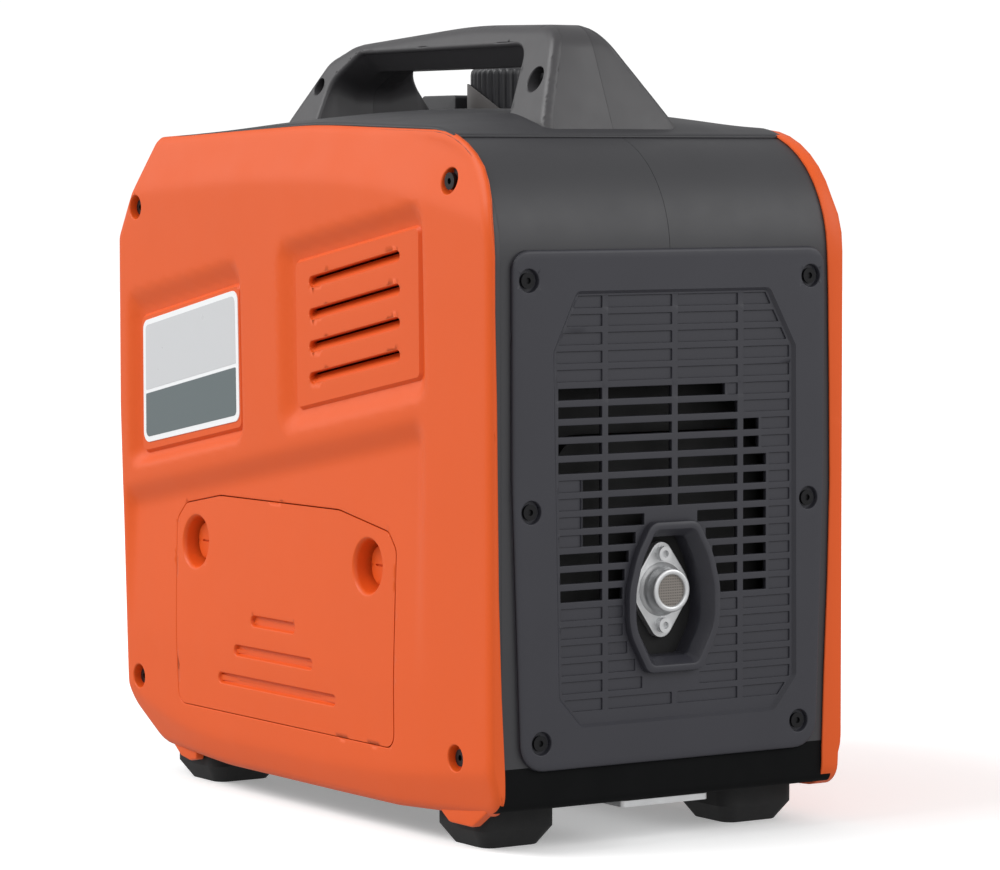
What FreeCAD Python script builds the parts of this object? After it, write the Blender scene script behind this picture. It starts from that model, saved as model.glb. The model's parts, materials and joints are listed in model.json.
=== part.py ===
"""Portable inverter generator, as an assembly of separate pieces.

Axes: +X towards the exhaust end, -Y towards the service side (maintenance door), +Z up.
The origin is on the floor, below the middle of the machine. Millimetres throughout.
Each function makes one sub-part, and the table at the end writes each one to its own STEP file.
"""
import FreeCAD, Part
import math
import os

V = FreeCAD.Vector

# ---- driving dimensions -------------------------------------------------------------------
HALF_LENGTH = 247.0      # overall, bumper to bumper
HALF_WIDTH = 140.0       # overall, outer face of each orange side cover
SEAM_Y = 130.0           # where an orange cover meets the black body
BODY_TOP = 460.0         # top of the casing
END_X = 240.0            # outer face of the black body at the exhaust end
FRONT_X = -243.0         # outer face of the black body at the control end
PANEL_X = 243.5          # outer face of the exhaust grille panel
WALL = 2.6               # moulded wall
SHELL_WALL = 3.0         # black body wall
GAP = 0.8                # gap round a removable cover
PART_GAP = 0.15          # half the gap between two mating casing halves
TRAY_TOP = 56.0          # where the base tray meets the body shells
TRAY_BOTTOM = 28.0
RIM_ROLL = 8.0           # rounding of the covers' rim
SCREW_SEAT_Y = 132.5     # floor of the cover screws' recesses
CREASE_DEPTH = 6.0       # how far the lower side panel steps in
POCKET_DEPTH = 4.0       # depth of the vent and plate pockets

# ---- engine and drive line ----------------------------------------------------------------
CRANK_X = 50.0
CRANK_Z = 140.0
SHAFT_R = 10.0
FIT = 0.05               # radial clearance of a turning fit
ROTOR_R = 66.0
FAN_R = 80.0
DRUM_R = 36.0            # rope drum of the recoil starter

# ---- exhaust ------------------------------------------------------------------------------
OUTLET_Z = 162.0
TUBE_R = 14.0
FLANGE_X = 226.0
FLANGE_T = 5.0
FLANGE_BOLT = 23.0       # bolt distance above and below the tube

# ---- fuel ---------------------------------------------------------------------------------
FILLER_X = -81.0
FILLER_Y = 92.0
NECK_R = 24.0
CAP_R = 31.0
CAP_TOP = 503.0

# ---- outlines in the side view, as (x, z, corner radius) -----------------------------------
COVER_OUTLINE = [
    (-198.0, 454.0, 12.0),
    (15.0, 462.0, 900.0),
    (241.0, 455.0, 78.0),
    (241.0, 26.0, 16.0),
    (120.0, 19.0, 60.0),
    (-100.0, 19.0, 300.0),
    (-192.0, 26.0, 30.0),
    (-232.0, 56.0, 24.0),
    (-247.0, 262.0, 300.0),
    (-246.0, 382.0, 12.0),
]
BODY_OUTLINE = [
    (-196.0, 451.0, 12.0),
    (15.0, 460.0, 900.0),
    (END_X, 453.0, 78.0),
    (END_X, TRAY_BOTTOM, 6.0),
    (-196.0, TRAY_BOTTOM, 24.0),
    (-229.0, 57.0, 24.0),
    (FRONT_X, 262.0, 300.0),
    (FRONT_X + 1.0, 381.0, 10.0),
]
DOOR_OUTLINE = [
    (-168.0, 186.0, 9.0),
    (-156.0, 198.0, 9.0),
    (-108.0, 206.0, 40.0),
    (54.0, 207.0, 40.0),
    (118.0, 197.0, 9.0),
    (128.0, 186.0, 9.0),
    (129.0, 58.0, 9.0),
    (-158.0, 58.0, 9.0),
]
VENT_TOP = [(-14.0, 374.0, 12.0), (162.0, 406.0, 12.0), (165.0, 284.0, 12.0), (-14.0, 252.0, 12.0)]
VENT_FLOOR = [(6.0, 352.0, 8.0), (139.0, 379.0, 8.0), (143.0, 301.0, 8.0), (6.0, 274.0, 8.0)]
PLATE_TOP = [(-238.0, 342.0, 12.0), (-68.0, 371.0, 12.0), (-64.0, 246.0, 12.0), (-236.0, 217.0, 12.0)]
PLATE_FLOOR = [(-220.0, 329.0, 8.0), (-74.0, 355.0, 8.0), (-71.0, 255.0, 8.0), (-219.0, 231.0, 8.0)]
PLATE_OUTLINE = [(-216.0, 325.0, 7.0), (-79.0, 350.0, 7.0), (-76.0, 260.0, 7.0), (-215.0, 236.0, 7.0)]
COVER_SCREWS = [(191.0, 424.0), (202.0, 60.0), (-219.0, 405.0), (-218.0, 70.0)]
DOOR_SCREWS = [(-140.0, 172.0), (93.0, 173.0)]
VENT_SLOTS = [(75.0, 366.0), (75.0, 345.0), (75.0, 323.5), (75.0, 302.5)]
VENT_SLOT_LENGTH = 116.0
VENT_SLOT_RISE = 10.0    # degrees
DOOR_SLOTS = [(-28.0, 124.0, 60.0), (-27.0, 102.0, 106.0), (-23.0, 81.0, 158.0)]
GRILLE_SCREWS = [(110.0, 362.0), (108.5, 217.0), (101.0, 71.0)]
COVER_TABS = [(-184.0, -152.0), (166.0, 228.0)]
FEET = [(-166.0, -95.0), (-166.0, 95.0), (181.0, -95.0), (181.0, 95.0)]
FOOT_BLOCK = 58.0        # square block under the tray
FOOT_PAD = 42.0          # square pad that it narrows to
FOOT_STEP = 12.0         # height at which it starts to narrow

# ---- exhaust end panel, as (y, z, corner radius) --------------------------------------------
GRILLE_HALF = 122.0
GRILLE_OUTLINE = [
    (-GRILLE_HALF, 381.0, 12.0),
    (GRILLE_HALF, 381.0, 12.0),
    (GRILLE_HALF, 230.0, 200.0),
    (GRILLE_HALF - 6, 53.0, 18.0),
    (-GRILLE_HALF + 6, 53.0, 18.0),
    (-GRILLE_HALF, 230.0, 200.0),
]
PORT_OUTER = [(-19, 207, 4), (19, 207, 4), (36, 165, 4), (19, 110, 4), (-19, 110, 4), (-36, 165, 4)]
PORT_INNER = [(-13, 197, 3), (13, 197, 3), (27, 164, 3), (13, 119, 3), (-13, 119, 3), (-27, 164, 3)]
SLAT_PITCH = 11.6
SLAT_GAP = 8.0
SLAT_ROWS = 23
OPEN_ROWS = range(5, 17)
SLAT_COLUMNS = [(-86, -53), (-49, 1), (5, 53), (57, 86)]
GRILLE_TOP_ROW = 348.0

# ---- carry handle, in the side view ---------------------------------------------------------
HANDLE_FOOT_Y = 38.0
HANDLE_PROFILE = [
    (-175, 440, 2),
    (-131, 508, 14),
    (-104, 518.5, 40),
    (40, 528, 700),
    (139, 524, 10),
    (182, 438, 2),
]
HANDLE_MOUTH = [(-121, 440, 2), (-124, 494, 14), (-96, 513, 14), (118, 514, 14), (134, 440, 2)]
HANDLE_TUNNEL = [(-121, 440, 2), (-123, 486, 12), (-92, 500, 12), (116, 500, 12), (134, 440, 2)]
HANDLE_SCREWS = [(-133.5, 488.0, 6.5), (145.5, 489.0, 9.0)]     # x, z, recess radius

# ---- control end, as (y, z) -----------------------------------------------------------------
CONTROL_HALF = 98.0
CONTROL_LOW = 196.0
CONTROL_HIGH = 378.0
CONTROL_X = -234.0
AC_SPOTS = [(-58.0, 246.0), (4.0, 246.0)]
DC_SPOT = (66.0, 232.0)
USB_SPOT = (66.0, 272.0)
ROTARY_SPOT = (58.0, 338.0)
ECO_SPOT = (0.0, 340.0)
AC_BREAKER_SPOT = (-27.0, 296.0)
DC_BREAKER_SPOT = (30.0, 296.0)
LAMP_SPOTS = [(-76.0, 344.0), (-56.0, 344.0), (-36.0, 344.0)]
EARTH_SPOT = (80.0, 300.0)

# ---- recoil grip, dipstick and fuel hose ----------------------------------------------------
GRIP_X = -72.0
GRIP_Z = 280.0
DIPSTICK_X = 92.0
DIPSTICK_Z = 92.0
HOSE_X = -45.0
HOSE_Y = -35.0

# ---- helpers ------------------------------------------------------------------------------


def on_xz(y):
    """Places side-view points (x, z) at one y."""
    return lambda u, v: V(u, y, v)


def on_yz(x):
    """Places end-view points (y, z) at one x."""
    return lambda u, v: V(x, u, v)


def on_xy(z):
    """Places plan-view points (x, y) at one z."""
    return lambda u, v: V(u, v, z)


def rounded_wire(corners, place):
    """Closed wire through corners (u, v, radius), each rounded by an arc tangent to its two sides."""
    joints = []
    for i, (u, v, radius) in enumerate(corners):
        here = V(u, v, 0)
        before = corners[i - 1]
        after = corners[(i + 1) % len(corners)]
        back = (V(before[0], before[1], 0) - here).normalize()
        ahead = (V(after[0], after[1], 0) - here).normalize()
        half = back.getAngle(ahead) / 2
        reach = radius / math.tan(half)
        centre = here + (back + ahead).normalize() * (radius / math.sin(half))
        middle = centre + (here - centre).normalize() * radius
        joints.append((here + back * reach, middle, here + ahead * reach))
    edges = []
    for i, (start, middle, end) in enumerate(joints):
        following = joints[(i + 1) % len(joints)][0]
        arc = Part.Arc(place(start.x, start.y), place(middle.x, middle.y), place(end.x, end.y))
        edges.append(arc.toShape())
        if (following - end).Length > 1e-6:
            edges.append(Part.LineSegment(place(end.x, end.y), place(following.x, following.y)).toShape())
    return Part.Wire(edges)


def rectangle(low_u, low_v, high_u, high_v, radius):
    """Corners of a rounded rectangle."""
    spots = ((low_u, high_v), (high_u, high_v), (high_u, low_v), (low_u, low_v))
    return [(u, v, radius) for u, v in spots]


def centred_square(u, v, side, radius):
    """Corners of a rounded square about a point."""
    return rectangle(u - side / 2, v - side / 2, u + side / 2, v + side / 2, radius)


def slab(corners, plane, low, high):
    """Solid between two parallel planes, with a rounded outline."""
    start = {"xz": on_xz, "yz": on_yz, "xy": on_xy}[plane](low)
    run = {"xz": V(0, 1, 0), "yz": V(1, 0, 0), "xy": V(0, 0, 1)}[plane] * (high - low)
    return Part.Face(rounded_wire(corners, start)).extrude(run)


def tapered(corners_low, corners_high, plane, low, high):
    """Solid whose outline changes evenly from one plane to the other."""
    place = {"xz": on_xz, "yz": on_yz, "xy": on_xy}[plane]
    wires = [rounded_wire(corners_low, place(low)), rounded_wire(corners_high, place(high))]
    return Part.makeLoft(wires, True, True)


def rod(radius, start, along, length):
    """Cylinder from a start point along a direction."""
    return Part.makeCylinder(radius, length, V(*start), V(*along))


def ring(outer, inner, start, along, length):
    """Tube with both ends open."""
    return rod(outer, start, along, length).cut(rod(inner, start, along, length))


def box(low, high):
    """Box between two corners."""
    return Part.makeBox(high[0] - low[0], high[1] - low[1], high[2] - low[2], V(*low))


def soft_box(low, high, radius):
    """Box with rounded upright edges."""
    return slab(rectangle(low[0], low[1], high[0], high[1], radius), "xy", low[2], high[2])


def wedge_along_x(section, low_x, high_x):
    """Prism along X with a (y, z) section."""
    points = [V(low_x, y, z) for y, z in section]
    return Part.Face(Part.makePolygon(points + points[:1])).extrude(V(high_x - low_x, 0, 0))


def union(shapes):
    """One solid from several that touch."""
    whole = shapes[0].fuse(shapes[1:])
    return whole.removeSplitter()


def mirrored(shape):
    """The same shape on the other side of the machine."""
    return shape.mirror(V(0, 0, 0), V(0, 1, 0))


def slot_cutter(x, z, length, height, rise, low_y, high_y):
    """Cutter for a round-ended slot in the side view, turned by rise degrees."""
    corners = rectangle(-length / 2, -height / 2, length / 2, height / 2, height / 2 - 0.01)
    cutter = slab(corners, "xz", low_y, high_y)
    cutter.rotate(V(0, 0, 0), V(0, 1, 0), -rise)
    cutter.translate(V(x, 0, z))
    return cutter


# ---- orange side covers -------------------------------------------------------------------


def cover_blank(inset):
    """Closed pillow of a service-side cover; inset gives the inside surface of the same shape."""
    outline = Part.Face(rounded_wire(COVER_OUTLINE, on_xz(-SEAM_Y)))
    if inset:
        outline = outline.makeOffset2D(-inset)
    face_y = -(HALF_WIDTH - inset)
    pillow = outline.extrude(V(0, face_y + SEAM_Y, 0))
    rim = [e for e in pillow.Edges if all(abs(v.Y - face_y) < 1e-6 for v in e.Vertexes)]
    return pillow.makeFillet(RIM_ROLL - inset, rim)


def band_cutters():
    """Wedges that lean the top and bottom bands of a cover inwards."""
    outer = -HALF_WIDTH - 5
    top = wedge_along_x([(-HALF_WIDTH, 424), (-SEAM_Y - 2, 466), (outer, 466), (outer, 424)], -260, 260)
    bottom = wedge_along_x([(-HALF_WIDTH, 42), (-SEAM_Y - 2, 12), (outer, 12), (outer, 42)], -260, 260)
    return [top, bottom]


def crease_cutter():
    """The lower side panel: deepest under the slanting crease, running out level further down."""
    skin = -HALF_WIDTH
    floor = skin + CREASE_DEPTH
    high = [(-270, 203, 1), (160, 277, 8), (172, 120, 8), (-270, 120, 1)]
    low = [(-270, 185, 1), (146, 260, 4), (160, 120, 4), (-270, 120, 1)]
    bound = tapered(high, low, "xz", skin - 0.5, floor)
    fade = wedge_along_x([(skin - 0.5, 140), (floor, 290), (skin - 0.5, 290)], -300, 260)
    return bound.common(fade)


def pocket_cutters():
    """Pockets with leaning walls for the vent and for the plate."""
    skin = -HALF_WIDTH
    floor = skin + POCKET_DEPTH
    vent = tapered(VENT_TOP, VENT_FLOOR, "xz", skin, floor)
    plate = tapered(PLATE_TOP, PLATE_FLOOR, "xz", skin, floor)
    return [vent, plate]


def service_cover_surface():
    """The service side's closed wall, before its door, slots and screw holes are cut."""
    cutters = band_cutters() + [crease_cutter()] + pocket_cutters()
    outside = cover_blank(0).cut(cutters)
    shifted = [c.translated(V(0, WALL, 0)) for c in cutters]
    inside = cover_blank(WALL).cut(shifted)
    return outside.cut(inside)


def door_prism(grow):
    """Everything inside the maintenance door's outline, grown by a gap."""
    face = Part.Face(rounded_wire(DOOR_OUTLINE, on_xz(-HALF_WIDTH - 5)))
    if grow:
        face = face.makeOffset2D(grow)
    return face.extrude(V(0, 30, 0))


def screw_tubes(spots):
    """Sunken wells that take the heads of the cover screws."""
    return [rod(8.5, (x, -HALF_WIDTH - 2, z), (0, 1, 0), HALF_WIDTH + 2 - SCREW_SEAT_Y) for x, z in spots]


def screw_bosses(spots):
    """Bosses behind a cover, round its screw recesses."""
    return [rod(10.5, (x, -HALF_WIDTH, z), (0, 1, 0), HALF_WIDTH - SEAM_Y) for x, z in spots]


def cover_feet(spans):
    """Tabs that hang below a cover in front of the feet."""
    tabs = []
    for low_x, high_x in spans:
        corners = rectangle(low_x, 15, high_x, 30, 5)
        tabs.append(slab(corners, "xz", -SEAM_Y - WALL, -SEAM_Y))
    return tabs


def with_screw_seats(wall):
    """A cover wall with its screw bosses, recesses and clearance holes."""
    bosses = [b.common(cover_blank(0)) for b in screw_bosses(COVER_SCREWS)]
    wall = union([wall] + bosses)
    wall = wall.cut(screw_tubes(COVER_SCREWS))
    holes = [rod(2.6, (x, -HALF_WIDTH, z), (0, 1, 0), 20) for x, z in COVER_SCREWS]
    return wall.cut(holes)


def service_side_cover():
    """Orange cover with the vent, the plate pocket and the maintenance door's opening."""
    wall = service_cover_surface().cut(door_prism(GAP))
    slots = [
        slot_cutter(x, z, VENT_SLOT_LENGTH, 7.0, VENT_SLOT_RISE, -HALF_WIDTH - 5, -SEAM_Y)
        for x, z in VENT_SLOTS
    ]
    return union([with_screw_seats(wall.cut(slots))] + cover_feet(COVER_TABS))


def maintenance_door():
    """Removable door in the service side, with two deep screw wells and three grooves."""
    panel = service_cover_surface().common(door_prism(0))
    grooves = []
    for x, z, length in DOOR_SLOTS:
        grooves.append(slot_cutter(x, z, length, 7.5, 0, -HALF_WIDTH - 5, -HALF_WIDTH + 1.4))
    panel = panel.cut(grooves)
    wells = [rod(20.0, (x, -HALF_WIDTH + 2.6, z), (0, 1, 0), 15.4) for x, z in DOOR_SCREWS]
    panel = union([panel] + wells)
    bores = [rod(17.5, (x, -HALF_WIDTH - 5, z), (0, 1, 0), 20.5) for x, z in DOOR_SCREWS]
    holes = [rod(5.0, (x, -HALF_WIDTH, z), (0, 1, 0), 30) for x, z in DOOR_SCREWS]
    return panel.cut(bores + holes)


def door_screw(index):
    """Captive screw at the bottom of a door well."""
    x, z = DOOR_SCREWS[index]
    seat = -HALF_WIDTH + 15.5
    head = rod(8.0, (x, seat - 5, z), (0, 1, 0), 5)
    shank = rod(5.0 - FIT, (x, seat, z), (0, 1, 0), 14)
    slot = box((x - 9, seat - 6, z - 1), (x + 9, seat - 3, z + 1))
    return union([head, shank]).cut(slot)


def starter_side_cover():
    """Orange cover of the recoil side: cooling slots over the fan and a recess for the grip."""
    cutters = band_cutters() + pocket_cutters()[:1]
    outside = cover_blank(0).cut(cutters)
    inside = cover_blank(WALL).cut([c.translated(V(0, WALL, 0)) for c in cutters])
    wall = outside.cut(inside)
    slots = []
    for row in range(-4, 5):
        reach = 2 * math.sqrt(70.0 ** 2 - (15.0 * row) ** 2)
        slots.append(slot_cutter(CRANK_X, CRANK_Z + 15.0 * row, reach, 7.0, 0, -HALF_WIDTH - 5, -SEAM_Y))
    vents = [
        slot_cutter(x, z, VENT_SLOT_LENGTH, 7.0, VENT_SLOT_RISE, -HALF_WIDTH - 5, -SEAM_Y)
        for x, z in VENT_SLOTS
    ]
    wall = with_screw_seats(wall.cut(slots + vents))
    low = rectangle(GRIP_X - 48, GRIP_Z - 22, GRIP_X + 48, GRIP_Z + 22, 12)
    cup = slab(low, "xz", -HALF_WIDTH + 0.6, -HALF_WIDTH + 25)
    hollow = slab(rectangle(GRIP_X - 45, GRIP_Z - 19, GRIP_X + 45, GRIP_Z + 19, 10), "xz",
                  -HALF_WIDTH - 5, -HALF_WIDTH + 22)
    eyelet = rod(4.0, (GRIP_X, -HALF_WIDTH, GRIP_Z), (0, 1, 0), 40)
    return mirrored(union([wall, cup] + cover_feet(COVER_TABS[:1])).cut([hollow, eyelet]))


def side_cover_screws():
    """Eight screws that hold the two side covers, sunk in their recesses."""
    screws = []
    for x, z in COVER_SCREWS:
        head = rod(5.5, (x, -SCREW_SEAT_Y, z), (0, -1, 0), 3)
        shank = rod(2.3, (x, -SCREW_SEAT_Y, z), (0, 1, 0), 10)
        socket = rod(2.0, (x, -SCREW_SEAT_Y - 1.2, z), (0, -1, 0), 3)
        screw = union([head, shank]).cut(socket)
        screws += [screw, mirrored(screw)]
    return Part.makeCompound(screws)


def rating_plate():
    """Blank plate in the plate pocket."""
    return slab(PLATE_OUTLINE, "xz", -HALF_WIDTH + POCKET_DEPTH - 1.5, -HALF_WIDTH + POCKET_DEPTH)


# ---- black body ---------------------------------------------------------------------------


def body_ring(low_y, high_y):
    """Outer wall of the body between two y values, as a closed band."""
    outer = Part.Face(rounded_wire(BODY_OUTLINE, on_xz(low_y)))
    inner = outer.makeOffset2D(-SHELL_WALL)
    run = V(0, high_y - low_y, 0)
    return outer.extrude(run).cut(inner.extrude(run))


def end_openings():
    """Openings for the grille panel and for the two front panels."""
    grille = box((200, -GRILLE_HALF + 14, 68), (260, GRILLE_HALF - 14, 368))
    control = box((-260, -CONTROL_HALF, CONTROL_LOW), (-200, CONTROL_HALF, CONTROL_HIGH))
    intake = box((-260, -CONTROL_HALF, 66), (-200, CONTROL_HALF, 176))
    return [grille, control, intake]


def panel_seat():
    """Shallow seat that the grille panel drops into."""
    return slab(GRILLE_OUTLINE, "yz", PANEL_X - 5.5, PANEL_X + 5)


def body_prism(low_y, high_y):
    """Everything inside the body's outline between two y values."""
    return Part.Face(rounded_wire(BODY_OUTLINE, on_xz(low_y))).extrude(V(0, high_y - low_y, 0))


def screw_posts(spots, wall_z):
    """Posts that take the side cover screws, each on a web that runs up or down to the wall."""
    prism = body_prism(-SEAM_Y, -SEAM_Y + 14)
    posts = []
    for x, z in spots:
        low, high = sorted((z, wall_z))
        web = box((x - 3, -SEAM_Y, low), (x + 3, -SEAM_Y + 14, high)).common(prism)
        posts.append(union([rod(5.5, (x, -SEAM_Y, z), (0, 1, 0), 14), web]))
    bores = [rod(2.4, (x, -SEAM_Y - 1, z), (0, 1, 0), 13) for x, z in spots]
    return union(posts[:1]).cut(bores), union(posts[1:]).cut(bores)


def body_shell_service_side():
    """Black casing, service side half: top, both ends and the parting face at the middle."""
    half = body_ring(-SEAM_Y, -PART_GAP)
    half = half.cut([box((-300, -150, 0), (300, 0, TRAY_TOP)), panel_seat()] + end_openings())
    lip = slab(rectangle(-GRILLE_HALF - 1, 62, -PART_GAP, 377, 4), "yz", PANEL_X - 8.5, PANEL_X - 5.5)
    lip = lip.cut(end_openings())
    screws = [rod(2.2, (200, -y, z), (1, 0, 0), 50) for y, z in GRILLE_SCREWS]
    holes = [rod(3.0, (x, -HANDLE_FOOT_Y, BODY_TOP - 20), (0, 0, 1), 30) for x in (-150, 150)]
    posts = screw_posts([COVER_SCREWS[0], COVER_SCREWS[2]], BODY_TOP)
    return union([half, lip, *posts]).cut(screws + holes)


def body_shell_starter_side():
    """Black casing, starter side half, with the raised collar round the filler."""
    half = mirrored(body_shell_service_side())
    collar = rod(CAP_R + 3, (FILLER_X, FILLER_Y, BODY_TOP - 4), (0, 0, 1), 12)
    deck = soft_box((FILLER_X - 62, FILLER_Y - 24, BODY_TOP - 4), (FILLER_X, FILLER_Y + 24, BODY_TOP + 8), 8)
    bore = rod(NECK_R + 0.4, (FILLER_X, FILLER_Y, BODY_TOP - 30), (0, 0, 1), 60)
    return union([half, collar, deck]).cut(bore)


def base_tray():
    """Black chassis tray under the whole machine."""
    outer = body_ring(-SEAM_Y, SEAM_Y).common(box((-300, -SEAM_Y, 0), (300, SEAM_Y, TRAY_TOP)))
    wall = SHELL_WALL
    side = box((-215, -SEAM_Y, TRAY_BOTTOM), (END_X - wall, -SEAM_Y + wall, TRAY_TOP))
    side = side.common(body_prism(-SEAM_Y, SEAM_Y))
    sides = [side, mirrored(side)]
    posts = screw_posts([COVER_SCREWS[1], COVER_SCREWS[3]], TRAY_BOTTOM)
    tray = union([outer, *sides, *posts, *[mirrored(p) for p in posts]])
    holes = [rod(3.2, (x, y, TRAY_BOTTOM - 1), (0, 0, 1), 8) for x, y in FEET]
    return tray.cut([panel_seat()] + holes)


def bottom_plate():
    """Zinc-plated stiffening plate under the tray, its lip showing at the exhaust end."""
    return soft_box((-150, -34, TRAY_BOTTOM - 4), (236, 34, TRAY_BOTTOM), 4)


def rubber_feet():
    """Four stepped rubber feet with the studs that hold them."""
    feet = []
    for x, y in FEET:
        block_outline = centred_square(x, y, FOOT_BLOCK, 10)
        pad = tapered(centred_square(x, y, FOOT_PAD, 8), block_outline, "xy", 0, FOOT_STEP)
        block = slab(block_outline, "xy", FOOT_STEP, TRAY_BOTTOM)
        stud = rod(3.0, (x, y, TRAY_BOTTOM), (0, 0, 1), 8)
        feet.append(union([pad, block, stud]))
    return Part.makeCompound(feet)


# ---- exhaust end --------------------------------------------------------------------------

def grille_rows():
    """Openings between the slats: (low y, high y, z, whether it goes right through)."""
    rows = []
    for step in range(SLAT_ROWS):
        z = GRILLE_TOP_ROW - SLAT_PITCH * step
        through = step in OPEN_ROWS
        for low, high in SLAT_COLUMNS:
            inside_port = 104 < z < 213 and low < 36 and high > -36
            if inside_port:
                low, high = (low, -40) if low < -36 else (40, high)
            if high - low > 12:
                rows.append((low, high, z, through))
    return rows


def grille_panel():
    """Louvred end panel with the flared port that surrounds the exhaust outlet."""
    plate = slab(GRILLE_OUTLINE, "yz", PANEL_X - 5.5, PANEL_X)
    port = tapered(PORT_OUTER, PORT_OUTER, "yz", PANEL_X - 5.5, HALF_LENGTH)
    sleeve = slab(PORT_OUTER, "yz", PANEL_X - 9.5, PANEL_X - 5.5)
    panel = union([plate, port, sleeve])
    panel = panel.cut(tapered(PORT_INNER, PORT_INNER, "yz", 220, 260))
    cutters = []
    for low, high, z, through in grille_rows():
        start = 220 if through else PANEL_X - 1.5
        cutters.append(box((start, low, z - SLAT_GAP / 2), (260, high, z + SLAT_GAP / 2)))
    for y, z in GRILLE_SCREWS:
        for side in (-1, 1):
            cutters.append(rod(7.5, (PANEL_X - 3.5, side * y, z), (1, 0, 0), 10))
            cutters.append(rod(2.6, (220, side * y, z), (1, 0, 0), 30))
    return panel.cut(cutters)


def grille_screws():
    """Six screws of the end panel."""
    screws = []
    for y, z in GRILLE_SCREWS:
        for side in (-1, 1):
            head = rod(5.0, (PANEL_X - 3.5, side * y, z), (1, 0, 0), 2.2)
            shank = rod(2.1, (PANEL_X - 16, side * y, z), (1, 0, 0), 12.5)
            socket = rod(2.0, (PANEL_X - 2.8, side * y, z), (1, 0, 0), 3)
            screws.append(union([head, shank]).cut(socket))
    return Part.makeCompound(screws)


def muffler():
    """Silencer can behind the end panel, with its inlet pipe stub."""
    can = slab(rectangle(-80, 80, 80, 262, 24), "yz", 158, FLANGE_X)
    outlet = rod(12.0, (200, 0, OUTLET_Z), (1, 0, 0), 40)
    inlet = ring(13, 10, (128, 0, 225), (1, 0, 0), 30)
    bolts = [rod(2.1, (210, 0, OUTLET_Z + s * FLANGE_BOLT), (1, 0, 0), 30) for s in (-1, 1)]
    return union([can, inlet]).cut([outlet] + bolts)


def exhaust_outlet():
    """Diamond flange and tail tube."""
    half = 20.0
    tall = 29.0
    diamond = [(-half, OUTLET_Z, 13), (0, OUTLET_Z + tall, 8), (half, OUTLET_Z, 13), (0, OUTLET_Z - tall, 8)]
    flange = slab(diamond, "yz", FLANGE_X, FLANGE_X + FLANGE_T)
    tube = rod(TUBE_R, (FLANGE_X, 0, OUTLET_Z), (1, 0, 0), 17)
    bore = rod(TUBE_R - 2, (FLANGE_X - 1, 0, OUTLET_Z), (1, 0, 0), 30)
    holes = [rod(3.0, (FLANGE_X - 1, 0, OUTLET_Z + s * FLANGE_BOLT), (1, 0, 0), 10) for s in (-1, 1)]
    return union([flange, tube]).cut([bore] + holes)


def spark_arrestor():
    """Fine screen cup inside the tail tube."""
    return ring(TUBE_R - 2, TUBE_R - 3.2, (FLANGE_X + 2, 0, OUTLET_Z), (1, 0, 0), 13).fuse(
        rod(TUBE_R - 2, (FLANGE_X + 13.5, 0, OUTLET_Z), (1, 0, 0), 1.5)).removeSplitter()


def exhaust_bolts():
    """Two socket bolts through the flange."""
    bolts = []
    for side in (-1, 1):
        z = OUTLET_Z + side * FLANGE_BOLT
        head = rod(4.8, (FLANGE_X + FLANGE_T, 0, z), (1, 0, 0), 4.5)
        shank = rod(2.0, (FLANGE_X - 12, 0, z), (1, 0, 0), 17)
        socket = rod(2.3, (FLANGE_X + FLANGE_T + 2, 0, z), (1, 0, 0), 5)
        bolts.append(union([head, shank]).cut(socket))
    return Part.makeCompound(bolts)


# ---- carry handle -------------------------------------------------------------------------

def handle_shell_service_side():
    """Near half of the carry handle: a bridge that leans inwards towards its top."""
    bridge = slab(HANDLE_PROFILE, "xz", -54, -PART_GAP)
    side = [(-53, 457), (-53, 462), (-31, 511), (-20, 522), (-8, 527), (-8, 560), (-90, 560), (-90, 457)]
    lean = wedge_along_x(side, -260, 260)
    mouth = slab(HANDLE_MOUTH, "xz", -80, -32)
    throat = tapered(HANDLE_MOUTH, HANDLE_TUNNEL, "xz", -32, -14)
    tunnel = slab(HANDLE_TUNNEL, "xz", -14, 10)
    floor = body_prism(-80, 10)
    bores = [rod(radius, (x, -70, z), (0, 1, 0), 40) for x, z, radius in HANDLE_SCREWS]
    holes = [rod(2.6, (x, -70, z), (0, 1, 0), 90) for x, z, _ in HANDLE_SCREWS]
    return bridge.cut([lean, mouth, throat, tunnel, floor] + bores + holes)


def handle_screws():
    """Two screws that clamp the handle halves together."""
    screws = []
    for x, z, _ in HANDLE_SCREWS:
        head = rod(5.0, (x, -30, z), (0, -1, 0), 4)
        shank = rod(2.5, (x, -30, z), (0, 1, 0), 50)
        socket = rod(2.2, (x, -31.5, z), (0, -1, 0), 4)
        screws.append(union([head, shank]).cut(socket))
    return Part.makeCompound(screws)


# ---- fuel ---------------------------------------------------------------------------------


def fuel_tank():
    """Plastic tank under the top of the casing."""
    low = (-185, -108, 336)
    high = (100, 118, 440)
    outer = soft_box(low, high, 24)
    inner = soft_box([v + 3 for v in low], [v - 3 for v in high], 21)
    neck_hole = rod(NECK_R - 4, (FILLER_X, FILLER_Y, 400), (0, 0, 1), 60)
    outlet = rod(2.2, (HOSE_X, HOSE_Y, 330), (0, 0, 1), 20)
    return outer.cut([inner, neck_hole, outlet])


def filler_neck():
    """Neck that stands on the tank and carries the cap."""
    return ring(NECK_R, NECK_R - 4, (FILLER_X, FILLER_Y, 440), (0, 0, 1), 44)


def fuel_cap():
    """Screw cap with a gripping rim and a thread skirt."""
    skirt = ring(CAP_R, NECK_R + 0.4, (FILLER_X, FILLER_Y, 472), (0, 0, 1), 12)
    crown = rod(CAP_R, (FILLER_X, FILLER_Y, 484), (0, 0, 1), CAP_TOP - 484)
    flutes = []
    for step in range(18):
        angle = 2 * math.pi * step / 18
        x = FILLER_X + (CAP_R + 1.5) * math.cos(angle)
        y = FILLER_Y + (CAP_R + 1.5) * math.sin(angle)
        flutes.append(rod(3.0, (x, y, 470), (0, 0, 1), 40))
    return union([skirt, crown]).cut(flutes)


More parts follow.
